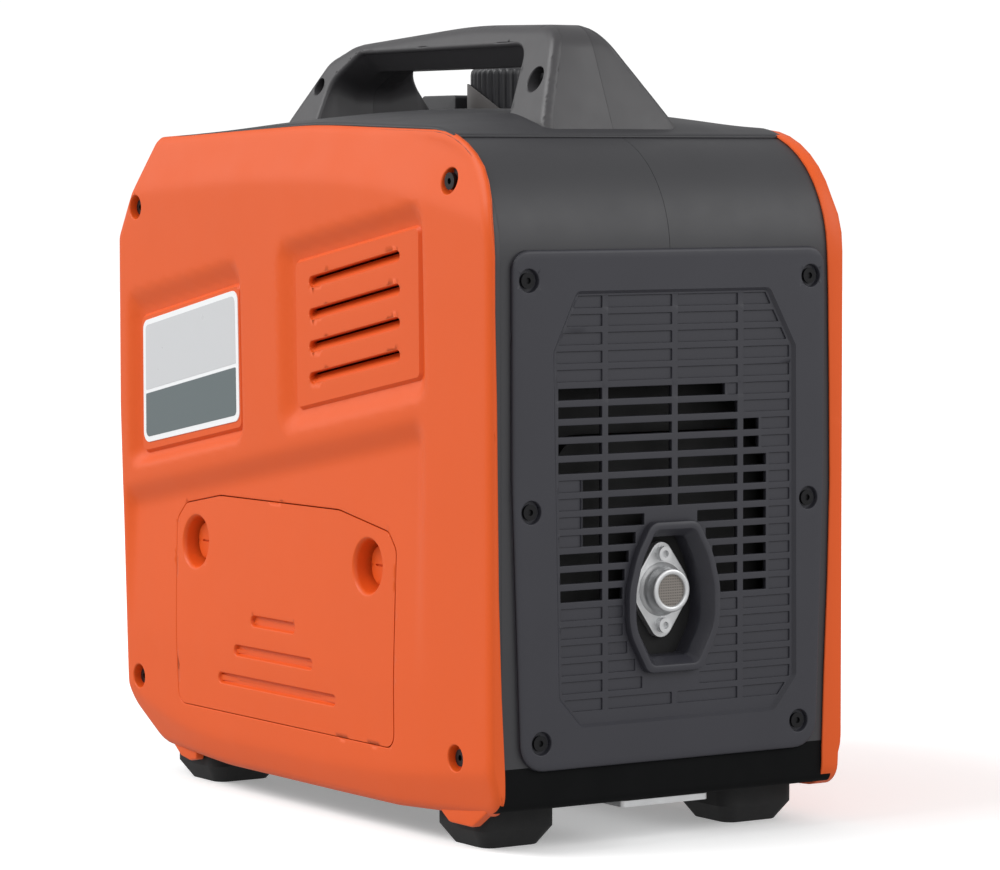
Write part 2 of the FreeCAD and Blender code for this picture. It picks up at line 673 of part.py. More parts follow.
def fuel_hose():
    """Hose from the tank outlet down to the carburettor."""
    return ring(4.0, 2.2, (HOSE_X, HOSE_Y, 206), (0, 0, 1), 130)


# ---- control end --------------------------------------------------------------------------

def control_panel():
    """Front panel that carries the outlets and switches."""
    half = CONTROL_HALF - 0.5
    outside = rectangle(-half, CONTROL_LOW + 0.5, half, CONTROL_HIGH - 0.5, 6)
    inside = rectangle(-half + 3.5, CONTROL_LOW + 4, half - 3.5, CONTROL_HIGH - 4, 5)
    front = slab(outside, "yz", CONTROL_X, CONTROL_X + 3)
    rim = slab(outside, "yz", FRONT_X + 1, CONTROL_X)
    rim = rim.cut(slab(inside, "yz", FRONT_X - 1, CONTROL_X + 1))
    cutters = [slab(centred_square(y, z, 48, 4), "yz", -260, -200) for y, z in AC_SPOTS]
    cutters.append(rod(14.2, (-260, *DC_SPOT), (1, 0, 0), 60))
    cutters.append(slab(rectangle(USB_SPOT[0] - 15, USB_SPOT[1] - 8, USB_SPOT[0] + 15, USB_SPOT[1] + 8, 2),
                        "yz", -260, -200))
    cutters.append(rod(6.0 + FIT, (-260, *ROTARY_SPOT), (1, 0, 0), 60))
    cutters.append(slab(rectangle(ECO_SPOT[0] - 15, ECO_SPOT[1] - 10, ECO_SPOT[0] + 15, ECO_SPOT[1] + 10, 2),
                        "yz", -260, -200))
    for spot in (AC_BREAKER_SPOT, DC_BREAKER_SPOT):
        cutters.append(rod(6.5, (-260, *spot), (1, 0, 0), 60))
    cutters += [rod(3.0, (-260, *spot), (1, 0, 0), 60) for spot in LAMP_SPOTS]
    cutters.append(rod(3.0, (-260, *EARTH_SPOT), (1, 0, 0), 60))
    return union([front, rim]).cut(cutters)


def intake_grille():
    """Louvred air intake below the control panel."""
    panel = slab(rectangle(-CONTROL_HALF + 0.5, 66.5, CONTROL_HALF - 0.5, 175.5, 6), "yz", -240, -236)
    panel = panel.common(box((-250, -110, 60), (-200, 110, 180)))
    cutters = []
    for step in range(8):
        z = 78 + 12.0 * step
        for low, high in ((-88, -32), (-28, 28), (32, 88)):
            cutters.append(box((-260, low, z), (-200, high, z + 6)))
    return panel.cut(cutters)


def ac_sockets():
    """Two earthed mains outlets, round wells in square frames."""
    sockets = []
    for y, z in AC_SPOTS:
        frame = slab(centred_square(y, z, 47.6, 4), "yz", CONTROL_X - 2, CONTROL_X + 22)
        well = rod(19.5, (CONTROL_X - 3, y, z), (1, 0, 0), 18.5)
        pins = [rod(2.6, (CONTROL_X, y + s * 9.5, z), (1, 0, 0), 20) for s in (-1, 1)]
        sockets.append(frame.cut([well] + pins))
    return Part.makeCompound(sockets)


def socket_flap(index):
    """Sprung cover of one mains outlet, hinged along its top edge."""
    y, z = AC_SPOTS[index]
    lid = slab(rectangle(y - 23, z - 23, y + 23, z + 21, 5), "yz", CONTROL_X - 5, CONTROL_X - 2.3)
    barrel = rod(2.2, (CONTROL_X - 4.6, y - 18, z + 22.5), (0, 1, 0), 36)
    return union([lid, barrel])


def dc_socket():
    """Round 12 V outlet."""
    y, z = DC_SPOT
    collar = ring(16.5, 10.5, (CONTROL_X - 2, y, z), (1, 0, 0), 2)
    barrel = ring(14.0, 10.5, (CONTROL_X, y, z), (1, 0, 0), 26)
    back = rod(14.0, (CONTROL_X + 26, y, z), (1, 0, 0), 3)
    return union([collar, barrel, back])


def usb_ports():
    """Block with two charging ports."""
    y, z = USB_SPOT
    block = slab(rectangle(y - 14.8, z - 7.8, y + 14.8, z + 7.8, 2), "yz", CONTROL_X - 1, CONTROL_X + 14)
    ports = [box((CONTROL_X - 2, y + s * 7 - 6.5, z - 2.6), (CONTROL_X + 10, y + s * 7 + 6.5, z + 2.6))
             for s in (-1, 1)]
    return block.cut(ports)


def indicator_lamps():
    """Three lamps in a row."""
    lamps = []
    for y, z in LAMP_SPOTS:
        stem = rod(2.9, (CONTROL_X - 1, y, z), (1, 0, 0), 10)
        lamps.append(stem)
    return Part.makeCompound(lamps)


def rotary_engine_switch():
    """Turning knob for stop, run and choke."""
    y, z = ROTARY_SPOT
    disc = rod(21.0, (CONTROL_X - 5, y, z), (1, 0, 0), 4.6)
    blade = box((CONTROL_X - 12.5, y - 5, z - 18), (CONTROL_X - 5, y + 5, z + 18))
    stem = rod(6.0, (CONTROL_X - 0.4, y, z), (1, 0, 0), 22)
    return union([disc, blade, stem])


def eco_switch():
    """Rocker of the economy mode."""
    y, z = ECO_SPOT
    rocker = slab(rectangle(y - 12, z - 7.5, y + 12, z + 7.5, 2), "yz", CONTROL_X - 4, CONTROL_X + 6)
    return rocker


def breaker_button(spot):
    """Push button of a circuit breaker."""
    cap = rod(6.2, (CONTROL_X - 5, *spot), (1, 0, 0), 18)
    return cap


def earth_stud():
    """Threaded earth terminal with its collar."""
    stud = rod(2.8, (CONTROL_X - 12, *EARTH_SPOT), (1, 0, 0), 30)
    collar = rod(7.0, (CONTROL_X - 1.5, *EARTH_SPOT), (1, 0, 0), 1.5)
    return union([stud, collar])


def earth_nut():
    """Wing nut on the earth terminal."""
    y, z = EARTH_SPOT
    hub = rod(5.5, (CONTROL_X - 8, y, z), (1, 0, 0), 6.2)
    wings = [box((CONTROL_X - 8, y + s * 7.5 - 4, z - 1.5), (CONTROL_X - 3, y + s * 7.5 + 4, z + 1.5))
             for s in (-1, 1)]
    return union([hub] + wings).cut(rod(2.8 + FIT, (CONTROL_X - 20, y, z), (1, 0, 0), 40))


# ---- engine -------------------------------------------------------------------------------


def crank_rod(radius, low_y, high_y):
    """Cylinder on the crank axis."""
    return rod(radius, (CRANK_X, low_y, CRANK_Z), (0, 1, 0), high_y - low_y)


def crankcase():
    """Cast housing of the engine, bored for the crankshaft and the dipstick."""
    block = slab(rectangle(-18, 64, 118, 205, 18), "xz", -52, 44)
    flange = box((-24, -52, 58), (124, 44, 66))
    crank_bore = crank_rod(SHAFT_R + FIT, -40, 60)
    cavity = crank_rod(38, -36, 28)
    filler = rod(9.0 + FIT, (DIPSTICK_X, -60, DIPSTICK_Z), (0, 1, 0), 40)
    return union([block, flange]).cut([crank_bore, cavity, filler])


def dipstick():
    """Oil filler plug with its dipstick."""
    start = (DIPSTICK_X, -52.2, DIPSTICK_Z)
    knob = rod(14.0, start, (0, -1, 0), 12)
    plug = rod(9.0, start, (0, 1, 0), 16)
    stick = rod(2.0, (DIPSTICK_X, -37, DIPSTICK_Z), (0, 1, 0), 14)
    flutes = []
    for step in range(8):
        angle = math.pi * step / 4
        spot = (DIPSTICK_X + 15.5 * math.cos(angle), -70, DIPSTICK_Z + 15.5 * math.sin(angle))
        flutes.append(rod(3.5, spot, (0, 1, 0), 17.7))
    return union([knob, plug, stick]).cut(flutes)


def cylinder_block():
    """Finned cylinder above the crankcase."""
    core = box((16, -40, 205), (84, 28, 280))
    fins = [box((4, -50, 212 + 10 * step), (96, 38, 216 + 10 * step)) for step in range(7)]
    return union([core] + fins)


def cylinder_head():
    """Head and rocker cover."""
    head = soft_box((6, -48, 280), (94, 36, 306), 6)
    cover = soft_box((18, -38, 306), (82, 26, 326), 8)
    plug_hole = rod(5.0, (50, -60, 293), (0, 1, 0), 30)
    return union([head, cover]).cut(plug_hole)


def crankshaft():
    """Crankshaft with its webs, reaching out to the rotor."""
    shaft = crank_rod(SHAFT_R, -38, 100)
    webs = [crank_rod(32, -24, -12), crank_rod(32, 4, 16)]
    return union([shaft] + webs)


def magneto_rotor():
    """Cup-shaped rotor with its magnets."""
    cup = crank_rod(ROTOR_R, 50, 82).cut(crank_rod(ROTOR_R - 8, 49, 76))
    return cup.cut(crank_rod(SHAFT_R, 40, 110))


def stator():
    """Wound stator with twelve teeth, fixed to the crankcase."""
    hub = crank_rod(36, 44, 72)
    arms = []
    for step in range(12):
        arm = box((CRANK_X - 5, 46, CRANK_Z + 30), (CRANK_X + 5, 70, CRANK_Z + 56))
        arm.rotate(V(CRANK_X, 0, CRANK_Z), V(0, 1, 0), 30 * step)
        arms.append(arm)
    return union([hub] + arms).cut(crank_rod(SHAFT_R + 2, 40, 80))


def cooling_fan():
    """Fan wheel on the rotor, blowing air over the engine."""
    disc = crank_rod(FAN_R, 82, 85)
    blades = []
    for step in range(14):
        blade = box((CRANK_X - 1.2, 85, CRANK_Z + 34), (CRANK_X + 1.2, 98, CRANK_Z + FAN_R))
        blade.rotate(V(CRANK_X, 0, CRANK_Z), V(0, 1, 0), 360 / 14 * step)
        blades.append(blade)
    hub = crank_rod(28, 85, 100)
    return union([disc, hub] + blades).cut(crank_rod(SHAFT_R, 40, 110))


def fan_shroud():
    """Duct round the fan."""
    duct = crank_rod(FAN_R + 6, 78, 106).cut(crank_rod(FAN_R + 3, 70, 110))
    return duct.cut(box((-100, 70, 0), (200, 110, CRANK_Z - 78)))


def recoil_housing():
    """Dish that carries the recoil starter over the fan."""
    dish = crank_rod(FAN_R + 6, 106, 109).cut(crank_rod(46, 100, 115))
    drum_house = crank_rod(49, 106, 124).cut(crank_rod(46, 100, 121))
    post = crank_rod(7, 102, 121)
    dish = dish.cut(box((-100, 70, 0), (200, 130, CRANK_Z - 78)))
    windows = []
    for step in range(8):
        window = box((CRANK_X - 10, 100, CRANK_Z + 54), (CRANK_X + 10, 112, CRANK_Z + 78))
        window.rotate(V(CRANK_X, 0, CRANK_Z), V(0, 1, 0), 45 * step)
        windows.append(window)
    eyelet = box((CRANK_X - 50, 108, CRANK_Z + 20), (CRANK_X - 34, 118, CRANK_Z + 34))
    return union([dish.cut(windows), drum_house, post]).cut(eyelet)


def recoil_pulley():
    """Rope drum on the housing's post."""
    drum = crank_rod(DRUM_R, 106, 118)
    flanges = [crank_rod(DRUM_R + 7, 106, 107.5), crank_rod(DRUM_R + 7, 116.5, 118)]
    hollow = crank_rod(26, 112, 119)
    return union([drum] + flanges).cut([crank_rod(7 + FIT, 100, 125), hollow])


def rewind_spring():
    """Flat spiral spring that winds the rope back in."""
    turns = []
    for step in range(5):
        radius = 22.0 - 3.0 * step
        turns.append(crank_rod(radius, 114, 119.5).cut(crank_rod(radius - 0.8, 110, 121)))
    hook = box((CRANK_X + 9, 114, CRANK_Z - 0.4), (CRANK_X + 22, 119.5, CRANK_Z + 0.4))
    return union([hook] + turns)


def recoil_grip():
    """Pull grip of the recoil starter, resting in its recess."""
    bar = slab(rectangle(GRIP_X - 40, GRIP_Z - 10, GRIP_X + 40, GRIP_Z + 10, 9), "xz", 122, 137)
    neck = rod(7.0, (GRIP_X, 118.2, GRIP_Z), (0, 1, 0), 5)
    return union([bar, neck])


def air_filter_box():
    """Air cleaner behind the maintenance door."""
    return soft_box((-118, -104, 84), (-34, -58, 186), 8)


def air_filter_lid():
    """Lid of the air cleaner, with its grip rib."""
    lid = slab(rectangle(-120, 82, -32, 188, 8), "xz", -110, -104)
    rib = box((-80, -115, 100), (-72, -110, 170))
    return union([lid, rib])


def carburettor():
    """Carburettor between the air cleaner and the cylinder."""
    body = box((-62, -58, 150), (-28, -14, 206))
    runner = rod(10, (-28, -30, 180), (1, 0, 0), 10)
    bowl = rod(14, (HOSE_X, HOSE_Y, 132), (0, 0, 1), 18)
    return union([body, runner, bowl])


def spark_plug():
    """Spark plug in the head."""
    thread = rod(5.0 - FIT, (50, -48, 293), (0, 1, 0), 16)
    hexagon = rod(9.0, (50, -48, 293), (0, -1, 0), 9)
    insulator = rod(5.0, (50, -57, 293), (0, -1, 0), 18)
    return union([thread, hexagon, insulator])


def spark_plug_cap():
    """Rubber boot on the plug."""
    boot = rod(10.0, (50, -60, 293), (0, -1, 0), 32)
    elbow = rod(7.0, (50, -84, 293), (0, 0, -1), 26)
    return union([boot, elbow]).cut(rod(5.0 + FIT, (50, -50, 293), (0, -1, 0), 25.1))


def ignition_coil():
    """Coil beside the rotor."""
    return soft_box((20, 46, 214), (80, 70, 240), 4)


def inverter_module():
    """Finned inverter behind the control panel."""
    core = box((-212, -96, 66), (-136, 84, 92))
    fins = [box((-212 + 8 * step, -96, 92), (-209 + 8 * step, 84, 120)) for step in range(10)]
    return union([core] + fins)


def engine_mounts():
    """Four rubber mounts under the crankcase."""
    mounts = []
    floor = TRAY_BOTTOM + SHELL_WALL
    for x in (-14, 114):
        for y in (-42, 34):
            mounts.append(rod(12, (x, y, floor), (0, 0, 1), 58 - floor))
    return Part.makeCompound(mounts)


PARTS = {
    "service_side_cover": service_side_cover,
    "starter_side_cover": starter_side_cover,
    "side_cover_screws": side_cover_screws,
    "maintenance_door": maintenance_door,
    "door_screw_front": lambda: door_screw(0),
    "door_screw_rear": lambda: door_screw(1),
    "rating_plate": rating_plate,
    "body_shell_service_side": body_shell_service_side,
    "body_shell_starter_side": body_shell_starter_side,
    "base_tray": base_tray,
    "bottom_plate": bottom_plate,
    "rubber_feet": rubber_feet,
    "grille_panel": grille_panel,
    "grille_screws": grille_screws,
    "muffler": muffler,
    "exhaust_outlet": exhaust_outlet,
    "spark_arrestor": spark_arrestor,
    "exhaust_bolts": exhaust_bolts,
    "handle_shell_service_side": handle_shell_service_side,
    "handle_shell_starter_side": lambda: mirrored(handle_shell_service_side()),
    "handle_screws": handle_screws,
    "fuel_tank": fuel_tank,
    "filler_neck": filler_neck,
    "fuel_cap": fuel_cap,
    "fuel_hose": fuel_hose,
    "control_panel": control_panel,
    "intake_grille": intake_grille,
    "ac_sockets": ac_sockets,
    "socket_flap_left": lambda: socket_flap(0),
    "socket_flap_right": lambda: socket_flap(1),
    "dc_socket": dc_socket,
    "usb_ports": usb_ports,
    "indicator_lamps": indicator_lamps,
    "rotary_engine_switch": rotary_engine_switch,
    "eco_switch": eco_switch,
    "ac_breaker_button": lambda: breaker_button(AC_BREAKER_SPOT),
    "dc_breaker_button": lambda: breaker_button(DC_BREAKER_SPOT),
    "earth_stud": earth_stud,
    "earth_nut": earth_nut,
    "crankcase": crankcase,
    "dipstick": dipstick,
    "cylinder_block": cylinder_block,
    "cylinder_head": cylinder_head,
    "crankshaft": crankshaft,
    "magneto_rotor": magneto_rotor,
    "stator": stator,
    "cooling_fan": cooling_fan,
    "fan_shroud": fan_shroud,
    "recoil_housing": recoil_housing,
    "recoil_pulley": recoil_pulley,
    "rewind_spring": rewind_spring,
    "recoil_grip": recoil_grip,
    "air_filter_box": air_filter_box,
    "air_filter_lid": air_filter_lid,
    "carburettor": carburettor,
    "spark_plug": spark_plug,
    "spark_plug_cap": spark_plug_cap,
    "ignition_coil": ignition_coil,
    "inverter_module": inverter_module,
    "engine_mounts": engine_mounts,
}


def main():
    """Builds each sub-part and writes it to its own file."""
    os.makedirs("parts", exist_ok=True)
    for name, make in PARTS.items():
        shape = make()
        if not shape.isValid():
            raise ValueError(f"{name} is not a valid shape")
        shape.exportStep(f"parts/{name}.step")


main()
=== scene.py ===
"""Portable inverter generator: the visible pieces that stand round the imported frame, and their finishes.

Sizes are millimetres and meshes are metres. +X is the exhaust end, -Y the service side and +Z up.
A moulded skin is a plan (two coordinates) and a depth, which is how far it lies inside its outermost plane.
"""
import json
import logging
import math
from dataclasses import dataclass, field
from enum import Enum
from typing import Callable, Optional, Sequence

import bpy
import numpy as np
from mathutils import Matrix, Vector
from mathutils.geometry import delaunay_2d_cdt


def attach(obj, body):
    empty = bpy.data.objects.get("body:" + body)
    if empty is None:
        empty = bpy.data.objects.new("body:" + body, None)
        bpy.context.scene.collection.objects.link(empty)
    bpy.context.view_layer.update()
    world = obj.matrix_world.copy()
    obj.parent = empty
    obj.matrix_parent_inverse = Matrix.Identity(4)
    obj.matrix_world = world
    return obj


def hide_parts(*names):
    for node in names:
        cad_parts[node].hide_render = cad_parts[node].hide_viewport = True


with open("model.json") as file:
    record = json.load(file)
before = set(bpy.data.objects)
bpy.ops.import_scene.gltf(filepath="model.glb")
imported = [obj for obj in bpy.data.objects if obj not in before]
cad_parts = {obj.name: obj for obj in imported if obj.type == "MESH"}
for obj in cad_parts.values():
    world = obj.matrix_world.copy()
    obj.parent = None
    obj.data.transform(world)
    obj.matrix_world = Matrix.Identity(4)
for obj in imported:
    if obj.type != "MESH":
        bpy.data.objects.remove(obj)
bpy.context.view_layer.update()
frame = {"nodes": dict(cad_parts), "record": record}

LOG = logging.getLogger("generator")
MM = 0.001
# A corner is (u, v, radius) in plan; steps are pairs of lengths.
Corner = tuple[float, float, float]
Corners = Sequence[Corner]
Steps = Sequence[tuple[float, float]]
Loop = np.ndarray
# Creases sharper than this are shaded as edges.
SHARP_DEGREES = 38.0
# Triangles lower than this are left out of a skin.
SLIVER = 0.004
TINY = 1e-12
# Points handled at a time, which bounds the memory that a table of distances takes.
BLOCK = 1000
# Steps round a full turn of a large circle.
ROUND_STEPS = 96
STEPS_PER_RIB = 6
# Corner radius of a round-ended slot, as a share of half its height.
SLOT_ROUNDNESS = 0.98
# Rings along a rolled edge.
ROLL_RINGS = 5


# ---- plan geometry --------------------------------------------------------------------------------


def rounded_loop(corners: Corners, spacing: float = 5.0, arc_points: int = 6,
                 side_steps: Optional[int] = None) -> Loop:
    """Closed loop whose corners are arcs tangent to their two sides.

    Args:
        corners: (u, v, radius) of each corner, in order.
        spacing: longest step along a straight side.
        arc_points: steps in each corner arc.
        side_steps: steps along every side, where two loops have to match point for point.

    Returns:
        Points of the loop, (n, 2).
    """
    knots = np.array([c[:2] for c in corners], float)
    radii = np.array([c[2] for c in corners], float)
    back = np.roll(knots, 1, 0) - knots
    ahead = np.roll(knots, -1, 0) - knots
    back /= np.linalg.norm(back, axis=1)[:, None]
    ahead /= np.linalg.norm(ahead, axis=1)[:, None]
    half = np.arccos(np.clip((back * ahead).sum(1), -1, 1)) / 2
    reach = (radii / np.tan(half))[:, None]
    bisector = back + ahead
    bisector /= np.linalg.norm(bisector, axis=1)[:, None]
    centres = knots + bisector * (radii / np.sin(half))[:, None]
    starts = knots + back * reach
    ends = knots + ahead * reach
    pieces = []
    for i in range(len(knots)):
        spoke = starts[i] - centres[i]
        tip = ends[i] - centres[i]
        turn = math.atan2(spoke[0] * tip[1] - spoke[1] * tip[0], spoke @ tip)
        angles = math.atan2(spoke[1], spoke[0]) + turn * np.linspace(0, 1, arc_points + 1)
        pieces.append(centres[i] + radii[i] * np.stack([np.cos(angles), np.sin(angles)], 1))
        gap = starts[(i + 1) % len(knots)] - ends[i]
        steps = side_steps or max(1, math.ceil(np.linalg.norm(gap) / spacing))
        pieces.append(ends[i] + gap * (np.arange(1, steps) / steps)[:, None])
    return np.concatenate(pieces)


def circle(u: float, v: float, radius: float, count: int = 40) -> Loop:
    """Closed circular loop."""
    angles = 2 * np.pi * np.arange(count) / count
    return np.stack([u + radius * np.cos(angles), v + radius * np.sin(angles)], 1)


def stadium(u: float, v: float, length: float, height: float, rise: float = 0.0) -> Loop:
    """Round-ended slot, turned by rise degrees."""
    half = height / 2
    loop = rounded_loop(rectangle(-length / 2, -half, length / 2, half, half * SLOT_ROUNDNESS), arc_points=5)
    angle = math.radians(rise)
    turned = loop @ np.array([[math.cos(angle), math.sin(angle)], [-math.sin(angle), math.cos(angle)]])
    return turned + np.array([u, v])


def rectangle(low_u: float, low_v: float, high_u: float, high_v: float, radius: float) -> list[Corner]:
    """Corners of a rounded rectangle."""
    spots = ((low_u, high_v), (high_u, high_v), (high_u, low_v), (low_u, low_v))
    return [(u, v, radius) for u, v in spots]


def mirrored(half: Corners) -> list[Corner]:
    """Corners of a symmetrical outline from its right half, given from the top down."""
    left = [(-u, v, radius) for u, v, radius in reversed(half)]
    return left[-1:] + list(half) + left[:-1]


def is_clockwise(loop: Loop) -> bool:
    """Whether the loop's signed area is negative."""
    after = np.roll(loop, -1, 0)
    return float((loop[:, 0] * after[:, 1] - after[:, 0] * loop[:, 1]).sum()) < 0


def shrink(loop: Loop, step: float) -> Loop:
    """Loop moved towards its inside along its normals, by central differences."""
    along = np.roll(loop, -1, 0) - np.roll(loop, 1, 0)
    along /= np.maximum(np.linalg.norm(along, axis=1), TINY)[:, None]
    inward = np.stack([-along[:, 1], along[:, 0]], 1) * (-1 if is_clockwise(loop) else 1)
    return loop + inward * step


def inside(points: np.ndarray, loop: Loop) -> np.ndarray:
    """Even-odd test of many points against one loop."""
    start, end = loop, np.roll(loop, -1, 0)
    u, v = points[:, :1], points[:, 1:2]
    spans = (start[:, 1] > v) != (end[:, 1] > v)
    rise = np.where(np.abs(end[:, 1] - start[:, 1]) < TINY, TINY, end[:, 1] - start[:, 1])
    crossing = start[:, 0] + (v - start[:, 1]) * (end[:, 0] - start[:, 0]) / rise
    return (np.sum(spans & (u < crossing), axis=1) % 2) == 1


def distance(points: np.ndarray, loop: Loop) -> np.ndarray:
    """Distance of many points from a closed line of straight pieces."""
    run = np.roll(loop, -1, 0) - loop
    length = np.maximum((run ** 2).sum(1), TINY)
    best = np.full(len(points), np.inf)
    for first in range(0, len(points), BLOCK):
        here = points[first:first + BLOCK, None, :] - loop
        along = np.clip((here * run).sum(2) / length, 0, 1)
        best[first:first + BLOCK] = np.sqrt(((here - along[..., None] * run) ** 2).sum(2)).min(1)
    return best


def ease(t: np.ndarray) -> np.ndarray:
    """Smooth step from 0 to 1."""
    t = np.clip(t, 0, 1)
    return t * t * (3 - 2 * t)


def soft_ramp(t: np.ndarray, width: float) -> np.ndarray:
    """Zero below 0 and t above it, with the knee rounded over a width."""
    return (t + np.sqrt(t * t + width * width)) / 2


def rolled(to_rim: np.ndarray, reach: float, drop: float) -> np.ndarray:
    """Quarter-ellipse roll: drop deep at the rim, and nothing from its reach inwards."""
    t = np.clip(1 - to_rim / reach, 0, 1)
    return drop * (1 - np.sqrt(1 - t ** 2))


def roll_rings(rim: Loop, reach: float) -> list[Loop]:
    """Rings along a roll, closer together where it is steeper."""
    turns = [step * math.pi / (2 * ROLL_RINGS) for step in range(1, ROLL_RINGS + 1)]
    return [shrink(rim, reach * (1 - math.cos(turn))) for turn in turns]


def level(depth: float) -> Callable[[np.ndarray], np.ndarray]:
    """Depth function that is the same everywhere."""
    return lambda plan: np.full(len(plan), depth)


# ---- meshes ---------------------------------------------------------------------------------------


class Patches:
    """Collects vertex arrays and face arrays, then welds them into one mesh."""

    def __init__(self) -> None:
        """Starts empty."""
        self.points: list[np.ndarray] = []
        self.faces: list[tuple[int, ...]] = []
        self.count = 0

    def add(self, points: np.ndarray, faces: np.ndarray) -> None:
        """Adds vertices in millimetres and faces that count from this patch's first vertex."""
        self.points.append(np.asarray(points, float))
        self.faces += [tuple(row) for row in (np.asarray(faces) + self.count).tolist()]
        self.count += len(points)

    def grid(self, rows: np.ndarray, wrap: bool = False, flip: bool = False) -> None:
        """Adds a grid of vertices, (rows, columns, 3); wrap joins the last column to the first."""
        high, wide = rows.shape[:2]
        r, c = np.meshgrid(np.arange(high - 1), np.arange(wide if wrap else wide - 1), indexing="ij")
        after = (c + 1) % wide
        quads = np.stack([r * wide + c, r * wide + after, (r + 1) * wide + after, (r + 1) * wide + c], -1)
        quads = quads.reshape(-1, 4)
        self.add(rows.reshape(-1, 3), quads[:, ::-1] if flip else quads)

    def cap(self, ring: np.ndarray, flip: bool = False) -> None:
        """Closes a ring of vertices with a fan about its middle."""
        count = len(ring)
        fan = np.stack([np.arange(count), (np.arange(count) + 1) % count, np.full(count, count)], 1)
        self.add(np.concatenate([ring, ring.mean(0)[None]]), fan[:, ::-1] if flip else fan)

    def build(self, name: str) -> bpy.types.Object:
        """Welds equal vertices and makes a smooth-shaded object with sharp creases."""
        points = np.concatenate(self.points) * MM
        keys, first, index = np.unique(np.round(points, 7), axis=0, return_index=True, return_inverse=True)
        index = index.reshape(-1)
        faces = []
        for face in self.faces:
            welded = list(dict.fromkeys(index[list(face)].tolist()))
            if len(welded) > 2:
                faces.append(welded)
        mesh = bpy.data.meshes.new(name)
        mesh.from_pydata(keys.tolist(), [], faces)
        mesh.validate()
        mesh.shade_smooth()
        mesh.set_sharp_from_angle(angle=math.radians(SHARP_DEGREES))
        made = bpy.data.objects.new(name, mesh)
        bpy.context.scene.collection.objects.link(made)
        return made


def thicken(made: bpy.types.Object, wall: float) -> None:
    """Gives an open skin its wall, on the side away from its normals."""
    solid = made.modifiers.new("wall", "SOLIDIFY")
    solid.thickness = wall * MM
    solid.offset = -1.0
    weigh(made)


def weigh(made: bpy.types.Object) -> None:
    """Lets large flat faces set the shading next to fillets."""
    shading = made.modifiers.new("shading", "WEIGHTED_NORMAL")
    shading.keep_sharp = True


class Facing(Enum):
    """Which way a relief looks, as the axis of its depth."""

    SERVICE = "-y"
    STARTER = "+y"
    EXHAUST = "+x"


def placed(plan: np.ndarray, depth: np.ndarray, facing: Facing, plane: float) -> np.ndarray:
    """Plan points and depths as (x, y, z), measured inwards from a plane."""
    out = plane - depth
    u, v = plan[:, 0], plan[:, 1]
    if facing is Facing.SERVICE:
        return np.stack([u, -out, v], 1)
    if facing is Facing.STARTER:
        return np.stack([u, out, v], 1)
    return np.stack([out, u, v], 1)


@dataclass
class Lip:
    """A hole's edge, turned inwards.

    Steps are (how far into the hole, how much deeper) from the edge. Throat goes on with other loops at
    fixed depths, and floor closes the hole at its last ring.
    """

    loop: Loop
    steps: Steps = ((0.35, 0.1), (0.6, 0.6), (0.6, 3.0))
    floor: bool = False
    throat: Sequence[tuple[Loop, float]] = ()


